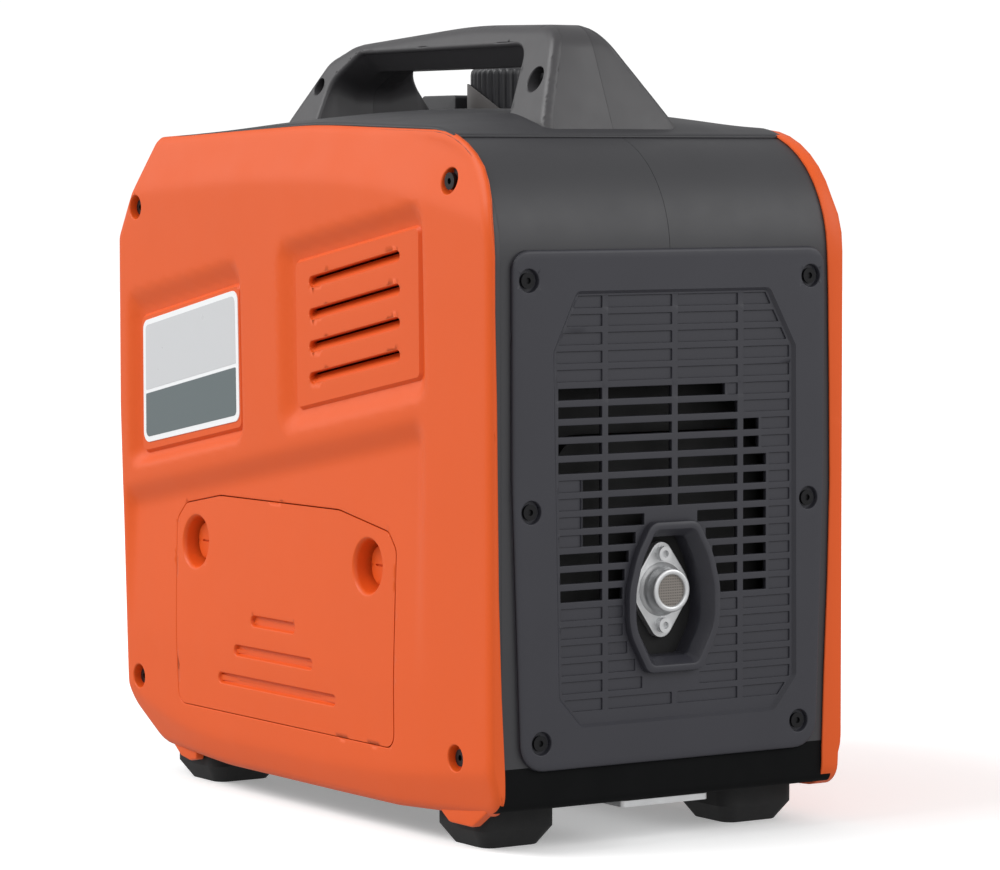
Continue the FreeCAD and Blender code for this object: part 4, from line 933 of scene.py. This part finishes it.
@dataclass
class ServiceSide(SideCover):
    """Service side: the cover, its maintenance door with deep wells and grooves, and the plate."""

    door: Corners = (
        (-168.0, 186.0, 9.0), (-156.0, 198.0, 9.0), (-108.0, 206.0, 40.0), (54.0, 207.0, 40.0),
        (118.0, 197.0, 9.0), (128.0, 186.0, 9.0), (129.0, 58.0, 9.0), (-158.0, 58.0, 9.0),
    )
    gap: float = 0.8
    door_skirt: float = 4.0
    door_wells: Steps = ((-140.0, 172.0), (93.0, 173.0))
    well_radius: float = 17.0
    well_steps: Steps = (
        (0.4, 0.15), (1.2, 0.8), (2.0, 2.0), (2.3, 3.5), (3.0, 15.0), (12.5, 15.0),
    )
    groove_height: float = 7.8
    groove_steps: Steps = ((0.4, 0.2), (0.9, 0.9), (1.2, 2.4), (1.6, 2.9))
    head_plane: float = 126.4
    head_radius: float = 13.0
    head_skirt: float = 1.2
    head_wall: float = 0.4
    screw_slot: tuple[float, float] = (15.0, 1.6)
    grooves: Sequence[tuple[float, float, float]] = (
        (-28.0, 124.0, 60.0), (-27.0, 102.0, 106.0), (-23.0, 81.0, 158.0),
    )
    label: Corners = (
        (-214.0, 324.0, 7.0), (-78.0, 350.0, 7.0), (-76.0, 260.0, 7.0), (-214.0, 237.0, 7.0),
    )
    upper_field: Corners = (
        (-210.0, 321.0, 4.0), (-82.0, 345.5, 4.0), (-80.5, 299.0, 1.0), (-210.0, 275.0, 1.0),
    )
    lower_field: Corners = (
        (-210.0, 272.5, 1.0), (-80.5, 296.5, 1.0), (-80.0, 263.5, 4.0), (-210.0, 241.5, 4.0),
    )
    label_rise: float = 0.6
    label_thickness: float = 1.4
    field_rise: float = 0.75
    field_thickness: float = 0.4

    def seam(self, loop: Loop, into: float) -> Lip:
        """Edge that turns in at the door's seam."""
        return Lip(loop, ((0.4 * into, 0.15), (0.7 * into, 0.6), (0.75 * into, 4.0)))

    def build_cover(self, palette: Palette) -> None:
        """The cover with its door opening."""
        opening = shrink(rounded_loop(self.door, 5.0, 8), -self.gap - 0.5)
        cover = self.relief([self.seam(opening, 1.0)], Facing.SERVICE).build("service_cover_skin")
        thicken(cover, self.wall)
        palette.dress(cover, "orange_cover", "body", ["service_side_cover"])

    def build_door(self, palette: Palette) -> None:
        """The door: the same skin inside its outline, with wells and grooves."""
        rim = rounded_loop(self.door, 5.0, 8)
        lips = []
        for x, z in self.door_wells:
            lips.append(Lip(circle(x, z, self.well_radius + 2.6, 48), self.well_steps, floor=True))
        for x, z, length in self.grooves:
            groove = stadium(x, z, length + 1.0, self.groove_height + 1.0)
            lips.append(Lip(groove, self.groove_steps, floor=True))
        door = Relief(Facing.SERVICE, self.width, rim, self.depth, lips, [shrink(rim, 3.0)],
                      skirt=level(self.door_skirt))
        skin = door.build("maintenance_door_skin")
        thicken(skin, self.wall)
        palette.dress(skin, "orange_cover", "maintenance_door", ["maintenance_door"])

    def build_door_screws(self, palette: Palette) -> None:
        """Slotted heads at the bottom of the door's wells."""
        for (x, z), place in zip(self.door_wells, ("front", "rear")):
            slot = Lip(stadium(x, z, *self.screw_slot), ((0.1, 0.1), (0.15, 1.4)), floor=True)
            rim = circle(x, z, self.head_radius)
            face = Relief(Facing.SERVICE, self.head_plane, rim, level(0.0), [slot],
                          skirt=level(self.head_skirt))
            head = face.build(f"door_screw_{place}_head")
            thicken(head, self.head_wall)
            palette.dress(head, "orange_cover", f"door_screw_{place}", [f"door_screw_{place}"])

    def build_label(self, palette: Palette) -> None:
        """Blank label: a white plate with a pale field above a slanting line and a grey one below it."""
        face = self.width - self.pocket_depth + self.plateau
        plate = plaque("label_plate", rounded_loop(self.label, 6.0), Facing.SERVICE,
                       face + self.label_rise, self.label_thickness, 0.25)
        palette.dress(plate, "plate", "body", ["rating_plate"])
        for finish, corners in ((PALE_FIELD, self.upper_field), (GREY_FIELD, self.lower_field)):
            made = plaque(f"label_{finish.slot}", rounded_loop(corners, 6.0), Facing.SERVICE,
                          face + self.field_rise, self.field_thickness, 0.05)
            palette.dress(made, "plate", finish=finish)


@dataclass
class StarterSide(SideCover):
    """Recoil side: the cover with the vent, cooling slots over the fan and a cup for the starter grip."""

    deepest_lean: float = 4.0
    roll_drop: float = 1.8
    seam_depths: tuple[float, ...] = (18.0, 16.5, 13.8, 12.2, 12.8, 13.8, 14.8, 15.2)
    fan_spot: tuple[float, float] = (50.0, 140.0)
    fan_reach: float = 70.0
    fan_pitch: float = 15.0
    fan_rows: range = range(-4, 5)
    grip_cup: tuple[float, float, float, float] = (-120.0, 258.0, -24.0, 302.0)
    cup_corner: float = 12.0
    cup_steps: Steps = ((0.5, 0.15), (1.4, 1.0), (1.8, 3.0), (2.2, 21.0))

    def features(self, plan: np.ndarray) -> np.ndarray:
        """This side is plain apart from the vent."""
        return np.zeros(len(plan))

    def pockets(self) -> list[tuple[Loop, Loop]]:
        """Only the vent's pocket."""
        return [self.vent]

    def fan_lips(self) -> list[Lip]:
        """Level slots inside a circle over the fan."""
        x, z = self.fan_spot
        lips = []
        for row in self.fan_rows:
            length = 2 * math.sqrt(self.fan_reach ** 2 - (self.fan_pitch * row) ** 2)
            slot = stadium(x, z + self.fan_pitch * row, length, self.slot_height + 1.0)
            lips.append(Lip(slot, SOFT_LIP + ((0.6, 6.0),)))
        return lips

    def build(self, palette: Palette) -> None:
        """The cover, with its cup."""
        cup = Lip(rounded_loop(rectangle(*self.grip_cup, self.cup_corner)), self.cup_steps, floor=True)
        cover = self.relief([cup] + self.fan_lips(), Facing.STARTER).build("starter_cover_skin")
        thicken(cover, self.wall)
        palette.dress(cover, "orange_cover", "body", ["starter_side_cover"])


# ---- exhaust end ----------------------------------------------------------------------------------


@dataclass
class ExhaustEnd:
    """Louvred end panel, its flared port, the outlet inside it and a black painted-shade sheet behind."""

    plane: float = 243.5
    wall: float = 2.2
    edge_roll: float = 2.4
    half_outline: Corners = ((122.0, 381.0, 12.0), (122.0, 230.0, 200.0), (116.0, 53.0, 18.0))
    louvre_field: Corners = (
        (-92.0, 317.0, 5.0), (-74.0, 355.0, 5.0), (77.0, 355.0, 5.0), (98.0, 317.0, 5.0),
        (99.0, 101.0, 5.0), (81.0, 79.0, 5.0), (-71.0, 79.0, 5.0), (-88.0, 98.0, 5.0),
    )
    field_margin: float = 1.6
    recess: float = 2.2
    recess_slope: float = 2.0
    columns: Steps = ((-92.0, -53.0), (-49.0, 1.0), (5.0, 53.0), (57.0, 99.0))
    top_row: float = 348.0
    row_pitch: float = 11.6
    gap: float = 8.0
    row_count: int = 23
    open_rows: range = range(5, 17)
    # Right ends of the open rows from the top one down, the last for all that follow.
    open_rights: Sequence[float] = (43.0, 56.0, 70.0, 70.0, 76.0)
    open_left: float = -87.0
    short_left: float = -69.0
    short_rows: range = range(5, 9)
    shortest_cell: float = 4.0
    cell_corner: float = 0.6
    open_steps: Steps = ((0.2, 0.08), (0.45, 0.4), (0.5, 3.4))
    closed_steps: Steps = ((0.1, 0.05), (0.3, 0.3), (0.4, 1.1))
    half_port: Corners = (
        (18.0, 207.0, 9.0), (30.0, 186.0, 50.0), (36.0, 164.0, 40.0), (36.0, 138.0, 40.0),
        (21.0, 110.0, 7.0),
    )
    half_throat: Corners = (
        (13.0, 197.0, 4.0), (21.5, 181.0, 40.0), (26.0, 163.0, 30.0), (26.0, 140.0, 30.0),
        (14.5, 119.5, 4.0),
    )
    port_clearance: tuple[float, float] = (1.2, 5.5)
    # The port's rim: how far from the port to its throat, and where along X.
    port_profile: Steps = (
        (0.0, 240.5), (0.0, 245.0), (0.06, 246.3), (0.2, 247.0), (0.44, 247.0), (0.54, 246.5),
        (1.0, 239.0), (1.03, 237.0), (1.05, 224.0),
    )
    port_wall: float = 1.2
    panel_hole: float = 0.4
    panel_skirt: float = 3.0
    screws: Steps = ((110.0, 362.0), (108.5, 217.0), (101.0, 71.0))
    screw_recess: float = 8.0
    outlet_z: float = 162.0
    flange_plane: float = 231.0
    flange_thickness: float = 5.0
    flange_corners: Corners = (
        (-25.5, 0.0, 20.0), (0.0, 37.0, 8.5), (25.5, 0.0, 20.0), (0.0, -38.0, 8.5),
    )
    tube_inset: float = 0.4
    # Height above the flange and radius of the tail tube, up its outside and in over its rolled end.
    tube_profile: Steps = (
        (0.2, 17.6), (0.8, 17.2), (1.8, 15.8), (3.0, 14.8), (4.4, 14.4), (10.6, 14.2), (11.6, 13.9),
        (12.2, 13.2), (12.4, 12.2), (12.3, 11.2), (11.8, 10.5), (10.8, 10.1), (0.2, 10.0),
    )
    # Painted shade: a black sheet behind the louvres; its plane, its rectangle and window (low y, low z,
    # high y, high z, radius), its wall.
    shade_sheet_plane: float = 220.0
    shade_sheet_outline: tuple[float, ...] = (-118.0, 58.0, 118.0, 376.0, 12.0)
    shade_sheet_window: tuple[float, ...] = (-81.0, 79.0, 81.0, 263.0, 20.0)
    shade_sheet_wall: float = 1.0

    def __post_init__(self) -> None:
        """Works out the loops."""
        self.rim = rounded_loop(mirrored(self.half_outline), 6.0, 8)
        self.field_loop = rounded_loop(self.louvre_field, 8.0, 4)
        self.port = rounded_loop(mirrored(self.half_port), arc_points=6, side_steps=3)
        self.port_throat = rounded_loop(mirrored(self.half_throat), arc_points=6, side_steps=3)

    def depth(self, plan: np.ndarray) -> np.ndarray:
        """Recess of the louvred field, and the rounded edge of the panel."""
        into = distance(plan, self.field_loop) * inside(plan, self.field_loop)
        edge = rolled(distance(plan, self.rim), self.edge_roll, self.edge_roll)
        return self.recess * ease(into / self.recess_slope) + edge

    def field_span(self, z: float) -> tuple[float, float]:
        """Left and right ends of the louvred field at a height, inside its slope."""
        margin = self.recess_slope + self.field_margin
        corners = sorted((v, u) for u, v, _ in self.louvre_field)
        low, high = (np.array([spot for spot in corners if side * spot[1] > 0]) for side in (-1, 1))
        return (float(np.interp(z, low[:, 0], low[:, 1])) + margin,
                float(np.interp(z, high[:, 0], high[:, 1])) - margin)

    def port_half(self, z: float) -> float:
        """Half-width of the port at a height, with clearance; zero above and below it."""
        beside, beyond = self.port_clearance
        half = np.array(self.half_port[::-1])
        if not half[0, 1] - beyond < z < half[-1, 1] + beyond:
            return 0.0
        return float(np.interp(z, half[:, 1], half[:, 0])) + beside

    def open_span(self, row: int) -> tuple[float, float]:
        """Where a row's openings start and end: they step outwards from the top row down."""
        place = row - self.open_rows.start
        high = self.open_rights[min(place, len(self.open_rights) - 1)]
        low = self.short_left if place in self.short_rows else self.open_left
        return low, high

    def cells(self) -> list[tuple[list[Corner], bool]]:
        """Corners of every cell between the slats, and whether it goes right through."""
        made = []
        for row in range(self.row_count):
            z = self.top_row - self.row_pitch * row
            bottom, top = z - self.gap / 2, z + self.gap / 2
            half = max(self.port_half(bottom), self.port_half(top))
            for low, high in self.columns:
                parts = [(low, min(high, -half)), (max(low, half), high)] if half else [(low, high)]
                for start, end in parts:
                    made += self._split(row, start, end, bottom, top)
        return made

    def _split(self, row: int, start: float, end: float, bottom: float, top: float) -> list:
        """Cuts a cell where a row changes from closed to open."""
        if row not in self.open_rows:
            return self._cell(start, end, bottom, top, False)
        low, high = self.open_span(row)
        made = self._cell(start, min(end, low), bottom, top, False)
        made += self._cell(max(start, low), min(end, high), bottom, top, True)
        return made + self._cell(max(start, high + 1.5), end, bottom, top, False)

    def _cell(self, start: float, end: float, bottom: float, top: float, is_open: bool) -> list:
        """One cell, with its ends trimmed to the field; none if it is too short."""
        (low_top, high_top), (low_bottom, high_bottom) = self.field_span(top), self.field_span(bottom)
        spots = [(max(start, low_top), top), (min(end, high_top), top),
                 (min(end, high_bottom), bottom), (max(start, low_bottom), bottom)]
        if min(spots[1][0] - spots[0][0], spots[2][0] - spots[3][0]) < self.shortest_cell:
            return []
        return [([(u, v, self.cell_corner) for u, v in spots], is_open)]

    def build_panel(self, palette: Palette) -> None:
        """The panel with its cells, its screw recesses and its hole for the port."""
        lips = []
        for corners, is_open in self.cells():
            steps = self.open_steps if is_open else self.closed_steps
            lips.append(Lip(rounded_loop(corners, 14.0, 2), steps, floor=not is_open))
        hole = self.port + (self.port_throat - self.port) * self.panel_hole
        lips.append(Lip(hole, ((0.1, 0.1), (0.2, 3.0))))
        for y, z in self.screws:
            for side in (-1, 1):
                lips.append(Lip(circle(side * y, z, self.screw_recess, 32),
                                ((0.3, 0.1), (0.7, 0.6), (0.9, 3.4)), floor=True))
        lines = [shrink(self.rim, self.edge_roll * share) for share in (0.12, 0.4, 1.0)]
        lines += [self.field_loop, shrink(self.field_loop, self.recess_slope)]
        panel = Relief(Facing.EXHAUST, self.plane, self.rim, self.depth, lips, lines, pitch=6.0,
                       skirt=level(self.panel_skirt)).build("end_panel_skin")
        thicken(panel, self.wall)
        palette.dress(panel, "grille_plastic", "body", ["grille_panel"])

    def build_port(self, palette: Palette) -> None:
        """Flared rim of the port: up its outside, over a flat crest and down a broad bevel."""
        rings = []
        for share, x in self.port_profile:
            ring = self.port + (self.port_throat - self.port) * share
            rings.append(placed(ring, np.zeros(len(ring)), Facing.EXHAUST, x))
        patches = Patches()
        patches.grid(np.stack(rings), wrap=True, flip=is_clockwise(self.port))
        rim = patches.build("port_rim")
        thicken(rim, self.port_wall)
        palette.dress(rim, "grille_plastic")

    def build_outlet(self, palette: Palette) -> None:
        """Diamond flange, and the tail tube with its rolled end and welded foot."""
        corners = [(y, self.outlet_z + z, radius) for y, z, radius in self.flange_corners]
        flange = plaque("outlet_flange", rounded_loop(corners, 3.0, 12), Facing.EXHAUST, self.flange_plane,
                        self.flange_thickness, 0.9)
        palette.dress(flange, "zinc_steel", "body", ["exhaust_outlet"])
        profile = [(height, radius, 0.0) for height, radius in self.tube_profile]
        foot = (self.flange_plane - self.tube_inset, 0.0, self.outlet_z)
        tube = lathe("tail_tube", profile, foot, True, hollow=True)
        palette.dress(tube, "zinc_steel")

    def build_shade_sheet(self, palette: Palette) -> None:
        """Black sheet behind the louvres, with a window for the silencer: painted shade for the dark inside.
        """
        sheet = rounded_loop(rectangle(*self.shade_sheet_outline), 20.0)
        window = rounded_loop(rectangle(*self.shade_sheet_window), 20.0)
        shade_sheet = Relief(Facing.EXHAUST, self.shade_sheet_plane, sheet, level(0.0),
                        [Lip(window, ((0.2, 0.2),))], pitch=24.0).build("painted_shade_sheet")
        thicken(shade_sheet, self.shade_sheet_wall)
        palette.dress(shade_sheet, "muffler_steel")


# ---- carry handle, deck and fuel cap --------------------------------------------------------------

# The filler's axis, in plan.
FILLER = (-81.0, 92.0)
CAP_RIBS = 36
# Height, radius and rib depth of the fuel cap.
CAP_PROFILE = (
    (472.0, 29.4, 0.3), (472.6, 30.4, 0.8), (474.0, 31.0, 1.5), (498.0, 31.0, 1.5), (500.5, 30.6, 1.1),
    (502.2, 29.4, 0.4), (503.0, 27.6, 0.0), (503.0, 23.0, 0.0), (501.6, 21.0, 0.0), (501.2, 12.0, 0.0),
)


@dataclass
class Handle:
    """One half of the carry handle: a face that leans in towards its top, with a tapering mouth."""

    facing: Facing
    lean: float
    width: float = 53.0
    lean_start: float = 461.0
    lean_knee: float = 3.0
    roll: float = 6.5
    mouth_roll: float = 3.2
    wall: float = 2.2
    parting: float = 0.15
    profile: Corners = (
        (-180.0, 432.0, 2.0), (-131.0, 508.0, 16.0), (-104.0, 518.5, 40.0), (40.0, 528.0, 700.0),
        (147.0, 525.5, 26.0), (187.0, 432.0, 2.0),
    )
    mouth: Corners = (
        (-114.0, 444.0, 2.0), (-117.0, 492.0, 16.0), (-92.0, 511.0, 14.0), (118.0, 512.0, 14.0),
        (133.0, 444.0, 2.0),
    )
    tunnel: Corners = (
        (-121.0, 444.0, 2.0), (-123.0, 486.0, 12.0), (-92.0, 500.0, 12.0), (116.0, 500.0, 12.0),
        (133.0, 444.0, 2.0),
    )
    throat_front: float = 21.0
    throat_back: float = 39.0
    bores: Sequence[tuple[float, float, float]] = ((-130.0, 489.5, 5.6), (145.5, 489.5, 8.0))
    bore_depth: float = 11.0
    pitch: float = 2.2

    def __post_init__(self) -> None:
        """Works out the rim."""
        self.rim = rounded_loop(self.profile, 4.0, 12)

    def depth(self, plan: np.ndarray) -> np.ndarray:
        """Lean of the face, and the rounding of its outer edge."""
        lean = self.lean * soft_ramp(plan[:, 1] - self.lean_start, self.lean_knee)
        return np.minimum(lean + rolled(distance(plan, self.rim), self.roll, self.roll), self.width - 1.0)

    def lips(self) -> list[Lip]:
        """The mouth, rounded like a bead and tapering to the tunnel, and the two screw bores."""
        mouth = rounded_loop(self.mouth, arc_points=8, side_steps=20)
        tunnel = rounded_loop(self.tunnel, arc_points=8, side_steps=20)
        turns = np.linspace(1 / ROLL_RINGS, 1.0, ROLL_RINGS) * math.pi / 2
        bead = [(self.mouth_roll * math.sin(a), self.mouth_roll * (1 - math.cos(a))) for a in turns]
        made = [Lip(shrink(mouth, -self.mouth_roll), bead, throat=(
            (mouth, self.throat_front), (tunnel, self.throat_back), (tunnel, self.width - self.parting)))]
        for x, z, radius in self.bores:
            steps = ((0.2, 0.1), (0.7, 0.7), (0.8, 3.0), (0.9, self.bore_depth))
            made.append(Lip(circle(x, z, radius + 0.8, 36), steps, floor=True))
        return made

    def build(self, palette: Palette) -> None:
        """The half, as a skin with a wall."""
        side = self.facing.name.lower()
        half = Relief(self.facing, self.width, self.rim, self.depth, self.lips(), [],
                      roll_rings(self.rim, self.roll), self.pitch,
                      lambda rim: self.width - self.parting - self.depth(rim)).build(f"handle_half_{side}")
        thicken(half, self.wall)
        palette.dress(half, "handle_plastic", "body", [f"handle_shell_{side}_side"])


@dataclass
class Deck:
    """Top of the casing between the covers: a crowned deck, the filler's scoop and the breather block."""

    front: float = -192.0
    rear: float = 186.0
    half_width: float = 129.0
    crown: float = 10.0
    crown_runs: tuple[float, float] = (120.0, 60.0)
    edge_sink: float = 1.4
    edge_run: float = 24.0
    top_line: Steps = (
        (-196.0, 451.0), (-18.0, 458.6), (15.0, 459.4), (48.0, 459.0), (164.0, 455.4), (175.0, 454.3),
        (186.0, 451.6),
    )
    clearance: float = 0.25
    wall: float = 3.0
    grid: tuple[int, int] = (76, 53)
    scoop_radius: float = 33.4
    scoop_foot: float = 452.0
    scoop_low: float = 462.0
    scoop_high: float = 492.0
    scoop_slope: float = 0.78
    scoop_heading: tuple[float, float] = (0.546, 0.838)
    scoop_wall: float = 1.4
    breather: tuple[float, ...] = (-167.0, 450.0, -121.0, 484.5, 3.0)
    breather_plane: float = -68.0
    breather_thickness: float = 22.0

    def top(self, x: np.ndarray) -> np.ndarray:
        """Height of the casing's top line."""
        places, heights = zip(*self.top_line)
        return np.interp(x, places, heights) + self.clearance

    def build_crown(self, palette: Palette) -> None:
        """Low crown from side to side, fading out towards both ends."""
        x = np.linspace(self.front, self.rear, self.grid[0])
        y = np.linspace(-self.half_width, self.half_width, self.grid[1])
        front_run, rear_run = self.crown_runs
        ends = ease((x - self.front) / front_run) * ease((self.rear - x) / rear_run)
        bow = 1 - (y / self.half_width) ** 2
        sunk = self.edge_sink * (1 - ease(np.minimum(x - self.front, self.rear - x) / self.edge_run))
        height = (self.top(x) - sunk)[:, None] + self.crown * ends[:, None] * bow[None, :]
        across, along = np.meshgrid(y, x)
        deck = Patches()
        deck.grid(np.stack([along, across, height], -1))
        made = deck.build("crowned_deck")
        thicken(made, self.wall)
        palette.dress(made, "black_casing")

    def build_scoop(self, palette: Palette) -> None:
        """Round wall under the fuel cap whose top slants down towards the exhaust end."""
        ring = circle(0.0, 0.0, 1.0, ROUND_STEPS)
        fall = ring @ np.array(self.scoop_heading) * self.scoop_radius + self.scoop_radius
        slant = np.clip(self.scoop_high - self.scoop_slope * fall, self.scoop_low, self.scoop_high)
        rings = []
        for share in (0.0, 0.5, 1.0):
            height = self.scoop_foot + (slant - self.scoop_foot) * share
            rings.append(np.column_stack([np.array(FILLER) + ring * self.scoop_radius, height]))
        wall = Patches()
        wall.grid(np.stack(rings), wrap=True)
        made = wall.build("filler_scoop")
        thicken(made, self.scoop_wall)
        palette.dress(made, "black_casing", finish=SCOOP)

    def build_breather(self, palette: Palette) -> None:
        """Small block beside the filler."""
        block = rounded_loop(rectangle(*self.breather), 6.0)
        made = plaque("breather_block", block, Facing.SERVICE, self.breather_plane,
                      self.breather_thickness, 1.2)
        palette.dress(made, "cap_plastic")


def build_fuel_cap(palette: Palette) -> None:
    """Screw cap with a ribbed wall, a softened crown and a shallow dish."""
    cap = lathe("fuel_cap_ribbed", CAP_PROFILE, (*FILLER, 0.0), False, ribs=CAP_RIBS)
    palette.dress(cap, "cap_plastic", "fuel_cap", ["fuel_cap"])


# ---- stage ----------------------------------------------------------------------------------------

PAPER_ROUGHNESS = 0.9
PAPER_GLOW = 0.28
# Where the softboxes aim, in metres.
MIDDLE = (0.0, 0.0, 0.25)


@dataclass
class Studio:
    """White sweep, sky and soft lamps round the machine, and the camera."""

    camera_at: tuple[float, float, float] = (2.4023, -1.5387, 0.4311)
    azimuth: float = 56.91
    elevation: float = 3.652
    roll: float = -0.105
    lens: float = 149.65
    sensor: float = 36.0
    clip_end: float = 50.0
    floor_radius: float = 12000.0
    room_light: float = 0.5
    backdrop: float = 1.05
    # Name, azimuth, elevation, strength and spread of each distant light.
    suns: Sequence[tuple[str, float, float, float, float]] = (
        ("key", 198.0, 46.0, 1.8, 34.0), ("end_light", 100.0, 30.0, 0.6, 50.0),
    )
    # Name, place, size and power of each softbox.
    softboxes: Sequence[tuple[str, Corner, float, float]] = (
        ("left_softbox", (-2.6, -2.0, 1.6), 2.2, 22.0), ("right_softbox", (2.4, 2.2, 1.9), 2.0, 36.0),
    )

    def build(self) -> None:
        """Makes the camera, the sweep, the sky and the lamps."""
        scene = bpy.context.scene
        scene.view_settings.view_transform = "Standard"
        self._camera(scene)
        self._sweep(scene)
        self._sky(scene)
        for sun in self.suns:
            self._sun(*sun)
        for softbox in self.softboxes:
            self._lamp(*softbox)

    def _camera(self, scene: bpy.types.Scene) -> None:
        """Camera that looks down a little at the service side and the exhaust end."""
        data = bpy.data.cameras.new("camera")
        data.lens = self.lens
        data.sensor_width = self.sensor
        data.clip_end = self.clip_end
        made = bpy.data.objects.new("camera", data)
        scene.collection.objects.link(made)
        heading = Matrix.Rotation(math.radians(self.azimuth), 4, "Z")
        tilt = Matrix.Rotation(math.radians(90.0 - self.elevation), 4, "X")
        roll = Matrix.Rotation(math.radians(self.roll), 4, "Z")
        made.matrix_world = Matrix.Translation(self.camera_at) @ heading @ tilt @ roll
        scene.camera = made

    def _sweep(self, scene: bpy.types.Scene) -> None:
        """Pale round floor, wide enough that its edge is far away."""
        ring = circle(0.0, 0.0, self.floor_radius, ROUND_STEPS)
        patches = Patches()
        patches.cap(np.column_stack([ring, np.zeros(ROUND_STEPS)]))
        floor = patches.build("floor")
        floor.data.materials.append(self._paper())

    @staticmethod
    def _paper() -> bpy.types.Material:
        """White background paper, which throws less light back up than it shows."""
        made = bpy.data.materials.new("background_paper")
        made.use_nodes = True
        tree = made.node_tree
        tree.nodes.clear()
        path = add(tree, "LightPath")
        tone = add(tree, "Mix", {"data_type": "RGBA"}, {
            "Factor": path.outputs["Is Camera Ray"], "A": linear("8C8C8C"), "B": linear("F8F8F8"),
        })
        paper = add(tree, "BsdfPrincipled", None, {
            "Base Color": tone.outputs["Result"], "Roughness": PAPER_ROUGHNESS, "Emission Color": WHITE,
            "Emission Strength": PAPER_GLOW,
        })
        add(tree, "OutputMaterial", None, {"Surface": paper.outputs["BSDF"]})
        return made

    def _sky(self, scene: bpy.types.Scene) -> None:
        """White room light; what is seen past the floor is plain white."""
        world = bpy.data.worlds.new("studio")
        world.use_nodes = True
        tree = world.node_tree
        tree.nodes.clear()
        path = add(tree, "LightPath")
        strength = add(tree, "MapRange", None, {
            "Value": path.outputs["Is Camera Ray"], "To Min": self.room_light, "To Max": self.backdrop,
        })
        back = add(tree, "Background", None, {"Color": WHITE, "Strength": strength.outputs["Result"]})
        add(tree, "OutputWorld", None, {"Surface": back.outputs["Background"]})
        scene.world = world

    @staticmethod
    def _sun(name: str, azimuth: float, elevation: float, strength: float, spread: float) -> None:
        """Distant soft light; azimuth is the direction it comes from, turning from +Y towards +X."""
        data = bpy.data.lights.new(name, "SUN")
        data.energy = strength
        data.angle = math.radians(spread)
        made = bpy.data.objects.new(name, data)
        bpy.context.scene.collection.objects.link(made)
        turn, rise = math.radians(azimuth), math.radians(elevation)
        source = Vector((math.sin(turn) * math.cos(rise), math.cos(turn) * math.cos(rise), math.sin(rise)))
        made.matrix_world = (-source).to_track_quat("-Z", "Y").to_matrix().to_4x4()

    @staticmethod
    def _lamp(name: str, place: tuple[float, float, float], size: float, power: float) -> None:
        """Soft square lamp aimed at the machine's middle."""
        data = bpy.data.lights.new(name, "AREA")
        data.energy = power
        data.size = size
        made = bpy.data.objects.new(name, data)
        bpy.context.scene.collection.objects.link(made)
        aim = (Vector(MIDDLE) - Vector(place)).to_track_quat("-Z", "Y")
        made.matrix_world = Matrix.Translation(place) @ aim.to_matrix().to_4x4()


def main() -> None:
    """Builds the studio and each sub-assembly in order."""
    logging.basicConfig(level=logging.INFO, format="%(message)s")
    Studio().build()
    palette = Palette()
    palette.dress_nodes()
    service = ServiceSide()
    service.build_cover(palette)
    service.build_door(palette)
    service.build_door_screws(palette)
    service.build_label(palette)
    service.build_tabs(palette, Facing.SERVICE, TABS)
    service.build_flange(palette, Facing.SERVICE)
    starter = StarterSide()
    starter.build(palette)
    starter.build_tabs(palette, Facing.STARTER, TABS[1:])
    end = ExhaustEnd()
    end.build_shade_sheet(palette)
    end.build_outlet(palette)
    end.build_panel(palette)
    end.build_port(palette)
    Handle(Facing.SERVICE, 0.44).build(palette)
    Handle(Facing.STARTER, 0.68).build(palette)
    deck = Deck()
    deck.build_crown(palette)
    deck.build_scoop(palette)
    deck.build_breather(palette)
    build_fuel_cap(palette)


if __name__ == "__main__":
    main()
